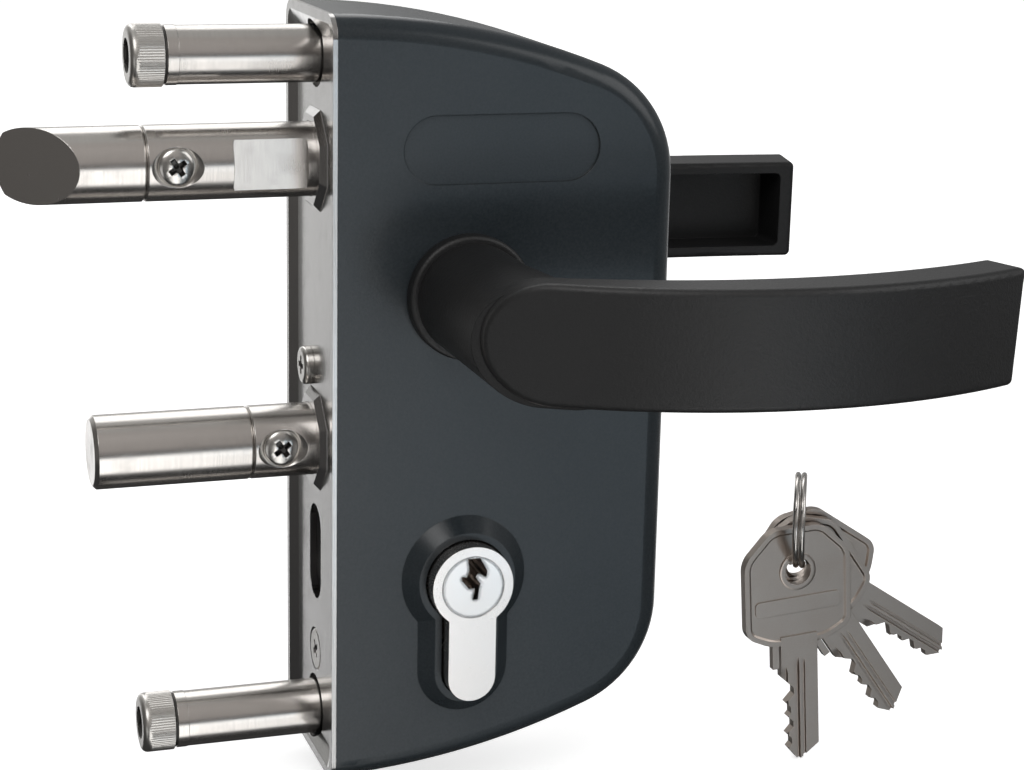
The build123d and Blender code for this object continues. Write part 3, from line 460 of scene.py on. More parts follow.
class GATELOCK_OT_finishes(bpy.types.Operator):
    """Puts a finish on every solid that is carried over"""

    bl_idname = "gatelock.finishes"
    bl_label = "Finishes"

    def execute(self, context):
        colours = context.scene.gate_lock_colours
        dress(powder_coat(colours.coating), COATED)
        dress(moulded_plastic("moulded_polyamide", colours.plastic, 0.55), PLASTIC)
        # Less specular on the rear handle as painted shade, for the case's shade on it
        dress(moulded_plastic("shaded_polyamide", colours.plastic, 0.25), REAR_PLASTIC)
        turned = worked_steel("turned_steel", colours.bolt, 0.22, (1, 0.04, 0.04), depth=0.0025 * MM)
        dress(turned, TURNED)
        dress(worked_steel("brushed_sheet", colours.tray, 0.18, (1, 1, 0.03)), SHEET_STEEL)
        dress(plated("screw_steel", colours.screw, 0.28), GRUB_SCREWS)
        dress(plated("cylinder_nickel", colours.nickel, 0.26), NICKEL)
        # Painted shade in the gap round each plug and in its keyway
        dress(plated("plug_nickel", colours.nickel, 0.22, painted_edge_shade=darker(colours.painted_shade, 0.6)), PLUGS)
        dress(plated("zinc_plate", colours.plate, 0.36, 0.8 * MM), PLATES)
        dress(plated("sintered_steel", colours.inner, 0.48, 0.3 * MM), WORKING_PARTS)
        dress(worked_steel("drawn_bar", colours.inner, 0.34, (1, 0.04, 1)), BARS)
        return {"FINISHED"}


# Work at the bench


def set_down():
    """Leaves edit mode and lets go of everything."""
    if bpy.context.object and bpy.context.object.mode != "OBJECT":
        bpy.ops.object.mode_set(mode="OBJECT")
    bpy.ops.object.select_all(action="DESELECT")


def take(piece):
    """Makes one piece the only selected one."""
    set_down()
    piece.select_set(True)
    bpy.context.view_layer.objects.active = piece


def taken(name):
    """Names the piece that was just added and gives it back."""
    piece = bpy.context.object
    piece.name = name
    piece.data.name = name
    return piece


def open_up(piece, kind="FACE"):
    """Starts work on the mesh of one piece, with nothing selected in it."""
    take(piece)
    bpy.ops.object.mode_set(mode="EDIT")
    bpy.ops.mesh.select_mode(type=kind)
    bpy.ops.mesh.select_all(action="DESELECT")


def pick_faces(piece, wanted):
    """Selects the faces whose middle and direction are wanted."""
    work = bmesh.from_edit_mesh(piece.data)
    for face in work.faces:
        face.select_set(bool(wanted(face.calc_center_median(), face.normal)))
    bmesh.update_edit_mesh(piece.data)


def pick_across(piece, least):
    """Selects only the edges that cross a flat piece along Y for more than least."""
    bpy.ops.mesh.select_all(action="DESELECT")
    work = bmesh.from_edit_mesh(piece.data)
    for edge in work.edges:
        start, end = edge.verts
        edge.select_set(abs(start.co.y - end.co.y) > least)
    bmesh.update_edit_mesh(piece.data)


def pick_points(piece, wanted):
    """Selects the points whose place is wanted."""
    work = bmesh.from_edit_mesh(piece.data)
    for point in work.verts:
        point.select_set(bool(wanted(point.co)))
    work.select_flush_mode()
    bmesh.update_edit_mesh(piece.data)


def slice_off(place, normal):
    """Cuts the open piece along a plane and drops what lies on the side of the normal."""
    bpy.ops.mesh.select_all(action="SELECT")
    unit = Vector(normal).normalized()
    bpy.ops.mesh.bisect(
        plane_co=place, plane_no=unit, use_fill=True, clear_outer=True, threshold=1e-7
    )


def outward(piece):
    """Merges doubles and points every face outwards."""
    open_up(piece)
    bpy.ops.mesh.select_all(action="SELECT")
    bpy.ops.mesh.remove_doubles(threshold=0.001 * MM)
    bpy.ops.mesh.normals_make_consistent(inside=False)
    set_down()


def combine(piece, other, operation):
    """Cuts another piece out of a piece or joins it on, and throws the other away."""
    take(piece)
    change = piece.modifiers.new("combine", "BOOLEAN")
    change.operation = operation
    change.solver = "EXACT"
    change.object = other
    bpy.ops.object.modifier_apply(modifier=change.name)
    bpy.data.objects.remove(other, do_unlink=True)


def cut_away(piece, tool):
    """Cuts a tool out of a piece."""
    combine(piece, tool, "DIFFERENCE")


def weld_on(piece, part):
    """Joins a part to a piece as one closed form."""
    combine(piece, part, "UNION")


def break_edges(piece, width, steps=2, angle=35.0):
    """Breaks every edge sharper than the angle and shades the rest smooth."""
    take(piece)
    change = piece.modifiers.new("edges", "BEVEL")
    change.width = width
    change.segments = steps
    change.limit_method = "ANGLE"
    change.angle_limit = math.radians(angle)
    bpy.ops.object.modifier_apply(modifier=change.name)
    bpy.ops.object.shade_smooth_by_angle(angle=math.radians(SMOOTH_ANGLE))
    change = piece.modifiers.new("flat_faces", "WEIGHTED_NORMAL")
    change.keep_sharp = True
    bpy.ops.object.modifier_apply(modifier=change.name)


def settle(piece):
    """Puts a piece's place, turn and scale into its mesh."""
    take(piece)
    bpy.ops.object.transform_apply(location=True, rotation=True, scale=True)


def copy_of(piece, name):
    """A copy with a mesh of its own."""
    take(piece)
    bpy.ops.object.duplicate(linked=False)
    return taken(name)


def joined(pieces, name):
    """Several pieces made one object."""
    set_down()
    for piece in pieces:
        piece.select_set(True)
    bpy.context.view_layer.objects.active = pieces[0]
    bpy.ops.object.join()
    return taken(name)


def bar(name, low, high):
    """A block between two corners, as a start for a piece or a tool."""
    set_down()
    middle = [(a + b) / 2 for a, b in zip(low, high)]
    bpy.ops.mesh.primitive_cube_add(size=1, location=middle)
    piece = taken(name)
    piece.scale = [b - a for a, b in zip(low, high)]
    settle(piece)
    return piece


def rod(name, radius, low, high):
    """A round bar along Y, as a start for a piece or a tool."""
    set_down()
    bpy.ops.mesh.primitive_cylinder_add(
        vertices=ROUND_SIDES, radius=radius, depth=high - low,
        location=(0, (low + high) / 2, 0), rotation=(math.pi / 2, 0, 0),
    )
    piece = taken(name)
    settle(piece)
    return piece


def finish_piece(piece, material, body, slot, *nodes):
    """Gives a finished piece its material and its place on the lock."""
    if not piece.data.materials:
        piece.data.materials.append(material)
    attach(piece, body)
    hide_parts(*nodes)


# Keys


def broad_side(place, normal):
    """True for the front and the rear face of a key."""
    return abs(normal.y) > 0.9


def key_head(sizes):
    """Key head with cut and rounded corners and a raised border."""
    half = sizes.head_width / 2
    top, low, thick = sizes.head_top, sizes.head_drop, sizes.thickness
    piece = bar("key_head", (-half, -thick / 2, -low), (half, thick / 2, top))
    open_up(piece)
    for side in (-1, 1):
        slice_off((side * half, 0, top - sizes.top_cut), (side, 0, 1))
        slice_off((side * half, 0, sizes.low_cut / 2 - low), (side, 0, -2))
    bpy.ops.mesh.select_mode(type="EDGE")
    pick_across(piece, thick / 2)
    bpy.ops.mesh.bevel(offset=sizes.corner, offset_type="OFFSET", segments=5, affect="EDGES")
    bpy.ops.mesh.select_mode(type="FACE")
    pick_faces(piece, broad_side)
    bpy.ops.mesh.inset(thickness=sizes.border, depth=0)
    bpy.ops.mesh.inset(thickness=sizes.border_slope, depth=-sizes.border_height)
    set_down()
    return piece


def key_eye(sizes):
    """Raised ring round the hole of a key, with a line of faces next to the hole."""
    ring = rod("key_eye", sizes.eye, -sizes.thickness / 2, sizes.thickness / 2)
    open_up(ring)
    pick_faces(ring, broad_side)
    bpy.ops.mesh.inset(thickness=(sizes.eye - sizes.hole) * EYE_LOOP, depth=0)
    set_down()
    return ring


def key_plate(sizes):
    """Raised bare bar with rounded corners, across the head of a key."""
    half = sizes.thickness / 2 - PLATE_SINK
    reach = sizes.plate_length / 2
    plate = bar(
        "key_plate",
        (-reach, -half, -sizes.plate_drop - sizes.plate_height),
        (reach, half, -sizes.plate_drop),
    )
    open_up(plate, "EDGE")
    pick_across(plate, sizes.thickness / 2)
    bpy.ops.mesh.bevel(offset=sizes.plate_height * PLATE_CORNER, segments=4, affect="EDGES")
    set_down()
    return plate


def key_lug(sizes):
    """Shoulder beside the top of the blade, where the key stops in its lock."""
    edge = -sizes.blade_width / 2
    half = sizes.thickness * LUG_THICKNESS / 2
    return bar(
        "key_lug",
        (edge - sizes.lug_width, -half, -sizes.head_drop - sizes.lug_length),
        (edge - sizes.lug_gap, half, -sizes.head_drop + LUG_ROOT),
    )


def key_cutter(sizes, place, depth):
    """Tool with sloping sides that files one notch into a blade."""
    edge = -sizes.blade_width / 2
    flat = sizes.cut_half
    slope = depth + SPARE
    tool = bar(
        "key_cutter",
        (edge - SPARE, -SPARE, -place - flat - slope),
        (edge + depth, SPARE, -place + flat + slope),
    )
    open_up(tool)
    pick_faces(tool, lambda centre, normal: normal.x > 0.9)
    bpy.ops.transform.resize(value=(1, 1, flat / (flat + slope)))
    set_down()
    return tool


def key_groove(sizes, left, width, side, start, deep):
    """Tool with a pointed start that cuts one long groove into a blade."""
    thick = sizes.thickness
    low, high = sorted((side * (thick / 2 - deep), side * thick))
    tip = sizes.head_drop + sizes.blade_length + SPARE
    tool = bar("key_groove", (left, low, -tip), (left + width, high, start))
    open_up(tool)
    pick_faces(tool, lambda centre, normal: normal.y * side < -0.9)
    bpy.ops.transform.resize(value=(GROOVE_FLOOR, 1, 1))
    bpy.ops.mesh.select_all(action="DESELECT")
    pick_faces(tool, lambda centre, normal: normal.z > 0.9)
    run_out = (0, side * thick * GROOVE_RISE, GROOVE_RUN_OUT)
    bpy.ops.mesh.extrude_region_move(TRANSFORM_OT_translate={"value": run_out})
    bpy.ops.transform.resize(value=(GROOVE_POINT, 1, 1))
    set_down()
    return tool


def key_blade(sizes):
    """Key blade with filed notches, long grooves and a pointed tip."""
    half, thick = sizes.blade_width / 2, sizes.thickness
    foot = -sizes.head_drop
    tip = foot - sizes.blade_length
    piece = bar("key_blade", (-half, -thick / 2, tip), (half, thick / 2, foot + BLADE_ROOT))
    open_up(piece)
    slice_off((half, 0, tip + sizes.back_slope), BACK_SLOPE)
    slice_off((-half, 0, tip + sizes.notch_slope), NOTCH_SLOPE)
    set_down()
    for place, depth in KEY_NOTCHES:
        cut_away(piece, key_cutter(sizes, place * MM - foot, depth * MM))
    for left, width, side, start, deep in KEY_GROOVES:
        groove = key_groove(sizes, left * MM, width * MM, side, foot - start * MM, deep * MM)
        cut_away(piece, groove)
    return piece


def one_key(sizes):
    """A whole key with its eye at the origin and its blade pointing down."""
    piece = key_head(sizes)
    for part in (key_eye, key_plate, key_blade, key_lug):
        weld_on(piece, part(sizes))
    cut_away(piece, rod("key_hole", sizes.hole, -sizes.thickness, sizes.thickness))
    outward(piece)
    break_edges(piece, KEY_EDGE)
    return piece


class GateLockKeySizes(bpy.types.PropertyGroup):
    """Sizes of the keys and their ring."""

    head_width: length_setting("Head width", "Width of a key head", 24.8 * MM)
    head_top: length_setting("Head top", "Hole to the top of the head", 10 * MM)
    head_drop: length_setting("Head drop", "Hole to the foot of the head", 16.6 * MM)
    top_cut: length_setting("Top cut", "Cut across the top corners", 6.5 * MM)
    low_cut: length_setting("Foot cut", "Cut across the lower corners", 6 * MM)
    corner: length_setting("Corner", "Rounding of the head's corners", 2 * MM)
    thickness: length_setting("Thickness", "Thickness of a key", 2.2 * MM)
    border: length_setting("Border", "Width of the raised border", 1.1 * MM)
    border_slope: length_setting("Border slope", "Slope inside the border", 0.4 * MM)
    border_height: length_setting("Border height", "Height of the border", 0.35 * MM)
    eye: length_setting("Eye", "Radius of the raised eye", 4.2 * MM)
    hole: length_setting("Hole", "Radius of the key hole", 3 * MM)
    plate_length: length_setting("Bar length", "Length of the bare bar", 20 * MM)
    plate_height: length_setting("Bar height", "Height of the bare bar", 3.6 * MM)
    plate_drop: length_setting("Bar drop", "Hole to the top of the bar", 5.8 * MM)
    blade_width: length_setting("Blade width", "Width of a blade", 8.6 * MM)
    blade_length: length_setting("Blade length", "Length of a blade", 27 * MM)
    back_slope: length_setting("Back slope", "Tip to the slope at the back", 3 * MM)
    notch_slope: length_setting("Notch slope", "Tip to the slope at the notches", 4.6 * MM)
    cut_half: length_setting("Notch half", "Half the flat of a notch", 0.7 * MM)
    lug_width: length_setting("Shoulder width", "Blade to the outside of the shoulder", 1.9 * MM)
    lug_gap: length_setting("Shoulder gap", "Blade to the inside of the shoulder", 0.4 * MM)
    lug_length: length_setting("Shoulder length", "Head to the end of the shoulder", 5.2 * MM)
    spacing: length_setting("Spacing", "Key to key along Y", 2.6 * MM)
    ring_turn: FloatProperty(
        name="Ring turn", description="Turn of the ring about Z", default=math.radians(27.5),
        subtype="ANGLE",
    )
    ring_radius: length_setting("Ring radius", "Radius of the split ring", 9.7 * MM)
    ring_wire: length_setting("Ring wire", "Half the ring's wire", 0.64 * MM)


class GATELOCK_OT_keys(bpy.types.Operator):
    """Models one key and hangs three of it on the ring"""

    bl_idname = "gatelock.keys"
    bl_label = "Keys"

    def execute(self, context):
        sizes = context.scene.gate_lock_keys
        material = plated("key_nickel", context.scene.gate_lock_colours.key, 0.33, 0.3 * MM)
        pattern = one_key(sizes)
        for index, turn in enumerate(KEY_TURNS):
            number = index + 1
            piece = copy_of(pattern, "nickel_key_%d" % number)
            step = sizes.spacing * index
            piece.rotation_euler = (0, -math.radians(turn), 0)
            piece.location = Vector(KEY_PLACE) + Vector((step * math.tan(sizes.ring_turn), step, 0))
            settle(piece)
            finish_piece(piece, material, "case", "key_nickel", "key_%d" % number)
        bpy.data.objects.remove(pattern, do_unlink=True)
        return {"FINISHED"}


# Screws


def turned_blank(name, rings, sides=ROUND_SIDES):
    """Turned piece on Z, worked up from its lowest face through rings of radius and height."""
    set_down()
    radius, level = rings[0]
    bpy.ops.mesh.primitive_circle_add(
        vertices=sides, radius=radius, fill_type="NGON", location=(0, 0, level)
    )
    piece = taken(name)
    settle(piece)
    open_up(piece)
    bpy.ops.mesh.select_all(action="SELECT")
    for wide, height in rings[1:]:
        bpy.ops.mesh.extrude_region_move(TRANSFORM_OT_translate={"value": (0, 0, height - level)})
        bpy.ops.transform.resize(
            value=(wide / radius, wide / radius, 1), center_override=(0, 0, height)
        )
        radius, level = wide, height
    set_down()
    outward(piece)
    return piece


def pointed_shank(radius, length, point=SMALL_POINT):
    """Rings of the lower end of a screw, from its point up to the full shank."""
    tip, rise = point
    return [(radius * tip, -length), (radius, -length + radius * rise)]


def rounded(radius, rise, foot, turns):
    """Rings up a round shoulder that starts at foot and comes in as far as it rises."""
    return [(radius - rise + rise * math.cos(turn), foot + rise * math.sin(turn)) for turn in turns]


def cross_tool(sizes):
    """Driver point with four flared wings, pointing down from z = 0."""
    long, wide, deep = sizes.cross_length, sizes.cross_width, sizes.cross_depth
    short, slim = WING_FOOT
    arms = []
    for along, across, foot in ((long, wide, (short, slim, 1)), (wide, long, (slim, short, 1))):
        arm = bar("cross_arm", (-along / 2, -across / 2, -deep), (along / 2, across / 2, deep))
        open_up(arm)
        pick_faces(arm, lambda centre, normal: normal.z < -0.9)
        bpy.ops.transform.resize(value=foot)
        set_down()
        arms.append(arm)
    weld_on(arms[0], arms[1])
    core = [(wide * radius, deep * height) for radius, height in CROSS_CORE]
    weld_on(arms[0], turned_blank("cross_core", core, 16))
    return arms[0]


def darken_recess(piece, finishes, reach, dome, head, depth, foot=0):
    """Puts the second finish, a painted shade, in a screw's driver recess and in the groove under its
    head.
    """
    for finish in finishes:
        piece.data.materials.append(finish)
    for face in piece.data.polygons:
        out = face.center.xy.length
        top = dome * math.sqrt(max(0, 1 - (out / head) ** 2)) if dome else 0
        if out < reach and dome - depth < face.center.z < top - RECESS_START:
            face.material_index = 1
        elif foot and out > head * GROOVE_START and abs(face.center.z + foot) < GROOVE_HALF:
            face.material_index = 1


def cut_cross(piece, sizes, finishes, head, rise, turn=0):
    """Cuts a cross recess in a head that stands up to z = rise, and finishes the screw."""
    tool = cross_tool(sizes)
    tool.location = (0, 0, rise)
    tool.rotation_euler = (0, 0, turn)
    settle(tool)
    cut_away(piece, tool)
    break_edges(piece, SCREW_EDGE, angle=40)
    reach, deep = CROSS_DARK
    darken_recess(
        piece, finishes, sizes.cross_length * reach, rise, head, sizes.cross_depth * deep
    )


def cross_screw(sizes, finishes, name, shank, head, cone, dome, length):
    """Cross-head screw that points down from z = 0, with a domed or countersunk head."""
    rings = pointed_shank(shank, length)
    rings += [(shank, -cone - sizes.neck), (shank, -cone)]
    if dome:
        rings += [(head, -DOME_EDGE), (head, 0)]
        rings += [(head * math.cos(turn), dome * math.sin(turn)) for turn in DOME_TURNS]
    else:
        rings += [(head, -sizes.rim), (head - sizes.rim * RIM_SLOPE, 0)]
    piece = turned_blank(name, rings)
    cut_cross(piece, sizes, finishes, head, dome, CROSS_TURN)
    return piece


def pan_screw(sizes, finishes, name, shank, head, side, dome, length):
    """Pan head screw that points down; its head stands from z = -side up to z = dome."""
    rings = pointed_shank(shank, length)
    rings += [(shank, -side), (head, -side), (head, 0)]
    rings += rounded(head, dome, 0, ROUND_TURNS)
    piece = turned_blank(name, rings)
    cut_cross(piece, sizes, finishes, head, dome)
    return piece


def cap_screw(sizes, name, head, length):
    """Socket head screw that points down from z = 0, with a knurled head and a rolled rim."""
    rim = head * CAP_RIM
    shank, foot = sizes.cap_shank, -sizes.cap_height
    rings = pointed_shank(shank, length, FIXING_POINT) + [(shank, foot)]
    rings += [(head - inset, foot + rise) for inset, rise in CAP_FOOT]
    rings += [(head, -rim - CAP_COLLAR), (head, -rim)]
    rings += rounded(head, rim, -rim, ROUND_TURNS)
    piece = turned_blank(name, rings, sizes.knurls * 2)
    open_up(piece, "VERT")
    step = math.pi / sizes.knurls

    def knurled(place):
        """True for every second line of points on the straight side of the head."""
        on_side = foot + 0.2 * MM < place.z < -rim + 0.1 * MM and place.xy.length > head * 0.99
        return on_side and round(math.atan2(place.y, place.x) / step) % 2 == 0

    pick_points(piece, knurled)
    bpy.ops.transform.resize(value=(KNURL_FLOOR, KNURL_FLOOR, 1), center_override=(0, 0, 0))
    set_down()
    bpy.ops.mesh.primitive_cylinder_add(
        vertices=6, radius=sizes.socket / math.sqrt(3), depth=2 * sizes.socket_depth
    )
    socket = taken("socket")
    settle(socket)
    lead = [(sizes.socket * radius, height) for radius, height in SOCKET_LEAD]
    lead_in = turned_blank("socket_lead", lead)
    cut_away(piece, socket)
    cut_away(piece, lead_in)
    break_edges(piece, SOCKET_EDGE, steps=1, angle=50)
    return piece


def placed(piece, name, place, way):
    """A copy of a screw with its head at a place, looking out along way."""
    made = copy_of(piece, name)
    made.rotation_euler = Vector(way).to_track_quat("Z", "Y").to_euler()
    made.location = place
    settle(made)
    return made


def spread(screw, name, places, way):
    """Copies of a screw with their heads at several places, as one object."""
    copies = []
    for number, place in enumerate(places, 1):
        copies.append(placed(screw, "%s_%d" % (screw.name, number), place, way))
    bpy.data.objects.remove(screw, do_unlink=True)
    return joined(copies, name)


def screw_finishes(name, recess_name, roughness, speckle=0.35 * MM):
    """Finish of a kind of screw, and the dark one painted as shade in its driver recess."""
    colours = bpy.context.scene.gate_lock_colours
    steel = plated(name, colours.screw, roughness, speckle)
    return steel, plated(recess_name, colours.painted_shade, RECESS_ROUGHNESS)


def cover_screw_places(level):
    """Places of the separate solids in the node of cover screws, at a level along Y."""
    work = bmesh.new()
    work.from_mesh(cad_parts["cover_screws"].data)
    bmesh.ops.remove_doubles(work, verts=work.verts, dist=1e-6)
    places = []
    left = set(work.verts)
    while left:
        grown = [left.pop()]
        group = []
        while grown:
            point = grown.pop()
            group.append(point.co)
            for edge in point.link_edges:
                other = edge.other_vert(point)
                if other in left:
                    left.remove(other)
                    grown.append(other)
        xs = [place.x for place in group]
        zs = [place.z for place in group]
        places.append(((min(xs) + max(xs)) / 2, level, (min(zs) + max(zs)) / 2))
    work.free()
    return sorted(places)


class GateLockScrewSizes(bpy.types.PropertyGroup):
    """Sizes of the screws."""

    cross_length: length_setting("Cross length", "Tip to tip of a cross recess", 5.2 * MM)
    cross_width: length_setting("Cross width", "Width of a wing of the recess", 1.3 * MM)
    cross_depth: length_setting("Cross depth", "Depth of a cross recess", 1.7 * MM)
    dome: length_setting("Dome", "Rise of a small screw's head", 0.9 * MM)
    neck: length_setting("Neck", "Plain length under a head", 0.7 * MM)
    rim: length_setting("Rim", "Broken edge of a flat head", 0.5 * MM)
    small_shank: length_setting("Small shank", "Radius of a bolt or cover screw", 1.95 * MM)
    small_cone: length_setting("Small cone", "Depth of its countersink", 1.8 * MM)
    large_shank: length_setting("Large shank", "Radius of a forend screw", 2.4 * MM)
    large_cone: length_setting("Large cone", "Depth of its countersink", 2.3 * MM)
    pan_height: length_setting("Pan height", "Height of the pan head", 2 * MM)
    pan_round: length_setting("Pan rounding", "Rounding of the pan head", 0.9 * MM)
    cover_head: length_setting("Cover head", "Radius of a cover screw's head", 3.75 * MM)
    cap_shank: length_setting("Cap shank", "Radius of a fixing screw", 3.9 * MM)
    cap_height: length_setting("Cap height", "Height of a fixing screw's head", 7.2 * MM)
    knurls: count_setting("Knurls", "Knurls round a fixing screw's head", 72, 12)
    socket: length_setting("Socket", "Flats of the hexagon socket", 6 * MM)
    socket_depth: length_setting("Socket depth", "Depth of the socket", 4.5 * MM)


class GATELOCK_OT_fixing_screws(bpy.types.Operator):
    """Turns and knurls the two long socket head screws"""

    bl_idname = "gatelock.fixing_screws"
    bl_label = "Fixing screws"

    def execute(self, context):
        sizes = context.scene.gate_lock_screws
        finishes = screw_finishes("cap_screw_steel", "socket_painted_shade", 0.32, 0.4 * MM)
        low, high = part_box("fixing_screws")
        head = (high.y - low.y) / 2
        screw = cap_screw(sizes, "cap_screw", head, high.x - low.x)
        reach, deep = SOCKET_DARK
        darken_recess(
            screw, finishes, sizes.socket * reach, 0, head, sizes.socket_depth * deep,
            sizes.cap_height,
        )
        places = ((low.x, 0, high.z - head), (low.x, 0, low.z + head))
        group = spread(screw, "knurled_cap_screws", places, (-1, 0, 0))
        finish_piece(group, finishes[0], "case", "screw_steel", "fixing_screws")
        return {"FINISHED"}


class GATELOCK_OT_bolt_screws(bpy.types.Operator):
    """Turns the raised cross-head screws of the latch and the dead bolt"""

    bl_idname = "gatelock.bolt_screws"
    bl_label = "Bolt screws"

    def execute(self, context):
        sizes = context.scene.gate_lock_screws
        finishes = screw_finishes("screw_nickel", "recess_painted_shade", 0.24)
        for node, body in (("latch_screw", "latch"), ("deadbolt_screw", "deadbolt")):
            low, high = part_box(node)
            middle = (low + high) / 2
            head, length = (high.x - low.x) / 2, high.y - low.y
            shank, cone = sizes.small_shank, sizes.small_cone
            screw = cross_screw(sizes, finishes, node, shank, head, cone, sizes.dome, length)
            made = placed(screw, "raised_" + node, (middle.x, low.y, middle.z), (0, -1, 0))
            bpy.data.objects.remove(screw, do_unlink=True)
            finish_piece(made, finishes[0], body, "screw_steel", node)
        return {"FINISHED"}


class GATELOCK_OT_tray_screws(bpy.types.Operator):
    """Turns the pan head screw and the countersunk screw of the forend"""

    bl_idname = "gatelock.tray_screws"
    bl_label = "Forend screws"

    def execute(self, context):
        sizes = context.scene.gate_lock_screws
        finishes = screw_finishes("forend_screw_nickel", "forend_recess_painted_shade", 0.24)
        for node, rise in (("tray_screw", sizes.pan_round), ("cylinder_screw", 0)):
            low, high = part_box(node)
            middle = (low + high) / 2
            head, length = (high.z - low.z) / 2, high.x - low.x - rise
            if rise:
                side = sizes.pan_height - rise
                screw = pan_screw(sizes, finishes, node, sizes.large_shank, head, side, rise, length)
            else:
                cone = sizes.large_cone
                screw = cross_screw(sizes, finishes, node, sizes.large_shank, head, cone, 0, length)
            made = placed(screw, "turned_" + node, (low.x + rise, middle.y, middle.z), (-1, 0, 0))
            bpy.data.objects.remove(screw, do_unlink=True)
            finish_piece(made, finishes[0], "case", "screw_steel", node)
        return {"FINISHED"}


class GATELOCK_OT_cover_screws(bpy.types.Operator):
    """Turns the four screws that hold the rear cover"""

    bl_idname = "gatelock.cover_screws"
    bl_label = "Cover screws"

    def execute(self, context):
        sizes = context.scene.gate_lock_screws
        finishes = screw_finishes("cover_screw_zinc", "cover_recess_painted_shade", 0.3)
        low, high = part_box("cover_screws")
        head, shank, cone = sizes.cover_head, sizes.small_shank, sizes.small_cone
        screw = cross_screw(sizes, finishes, "cover_screw", shank, head, cone, 0, high.y - low.y)
        group = spread(screw, "turned_cover_screws", cover_screw_places(high.y), (0, 1, 0))
        finish_piece(group, finishes[0], "case", "screw_steel", "cover_screws")
        return {"FINISHED"}


# Ring and springs


def wound(name, wire, radius, lengths, steps=SPRING_STEPS):
    """Round wire wound on Z, from z = 0, one turn for each length in the list."""
    turns = []
    start = 0
    for length in lengths:
        set_down()
        bpy.ops.mesh.primitive_circle_add(
            vertices=WIRE_SIDES, radius=wire, location=(radius, 0, start),
            rotation=(math.pi / 2, 0, 0),
        )
        turn = taken("turn")
        settle(turn)
        change = turn.modifiers.new("wind", "SCREW")
        change.axis = "Z"
        change.angle = 2 * math.pi
        change.screw_offset = length
        change.steps = steps
        change.render_steps = steps
        change.use_merge_vertices = False
        take(turn)
        bpy.ops.object.modifier_apply(modifier=change.name)
        turns.append(turn)
        start += length
    piece = joined(turns, name)
    open_up(piece, "EDGE")
    bpy.ops.mesh.select_all(action="SELECT")
    bpy.ops.mesh.remove_doubles(threshold=0.01 * MM)
    bpy.ops.mesh.select_all(action="DESELECT")
    bpy.ops.mesh.select_non_manifold()
    bpy.ops.mesh.fill_holes(sides=0)
    outward(piece)
    take(piece)
    bpy.ops.object.shade_smooth_by_angle(angle=math.radians(40))
    return piece


def moved(piece, place, turn=(0, 0, 0)):
    """Turns a piece about the origin, moves it to a place and settles it there."""
    piece.rotation_euler = turn
    piece.location = place
    settle(piece)


class GateLockSpringSizes(bpy.types.PropertyGroup):
    """Sizes of the springs."""

    wire: length_setting("Wire", "Radius of the spring wire", 0.6 * MM)
    latch_turns: count_setting("Latch spring turns", "Free turns of the latch spring", 5, 2)
    return_turns: count_setting("Return spring turns", "Free turns of the return spring", 4, 2)


class GATELOCK_OT_key_ring(bpy.types.Operator):
    """Winds the split ring through the holes of the keys"""

    bl_idname = "gatelock.key_ring"
    bl_label = "Key ring"

    def execute(self, context):
        sizes = context.scene.gate_lock_keys
        low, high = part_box("key_ring")
        pitch = 2 * sizes.ring_wire * RING_PITCH
        turns = (pitch, pitch)
        ring = wound("split_ring", sizes.ring_wire, sizes.ring_radius, turns, RING_STEPS)
        moved(ring, (0, 0, -pitch))
        moved(ring, (0, 0, 0), (0, math.pi / 2, 0))
        moved(ring, (low + high) / 2, (0, 0, -sizes.ring_turn))
        material = worked_steel("ring_steel", context.scene.gate_lock_colours.bolt, 0.2, (1, 1, 1))
        finish_piece(ring, material, "case", "ring_steel", "key_ring")
        return {"FINISHED"}


class GATELOCK_OT_springs(bpy.types.Operator):
    """Winds the latch spring and the return spring"""

    bl_idname = "gatelock.springs"
    bl_label = "Springs"

    def execute(self, context):
        sizes = context.scene.gate_lock_springs
        material = worked_steel("spring_wire", context.scene.gate_lock_colours.wire, 0.3, (1, 1, 1))
        low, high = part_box("latch_spring")
        length = high.x - low.x
        spring = self.coil("latch_coil", sizes, sizes.latch_turns, length, low, high)
        moved(spring, (low + high) / 2, (0, math.pi / 2, 0))
        finish_piece(spring, material, "case", "spring_steel", "latch_spring")
        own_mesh(spring)
        low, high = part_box("return_spring")
        spring = self.coil("return_coil", sizes, sizes.return_turns, high.z - low.z, low, high)
        moved(spring, (low + high) / 2)
        finish_piece(spring, material, "case", "spring_steel", "return_spring")
        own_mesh(spring)
        return {"FINISHED"}

    def coil(self, name, sizes, turns, length, low, high):
        """Spring on Z about the origin, with a closed turn at each end."""
        closed = CLOSED_PITCH * sizes.wire
        free = (length - 2 * sizes.wire - 2 * closed) / turns
        radius = (high.y - low.y) / 2 - sizes.wire
        spring = wound(name, sizes.wire, radius, [closed] + [free] * turns + [closed])
        moved(spring, (0, 0, sizes.wire - length / 2))
        return spring


# Studio


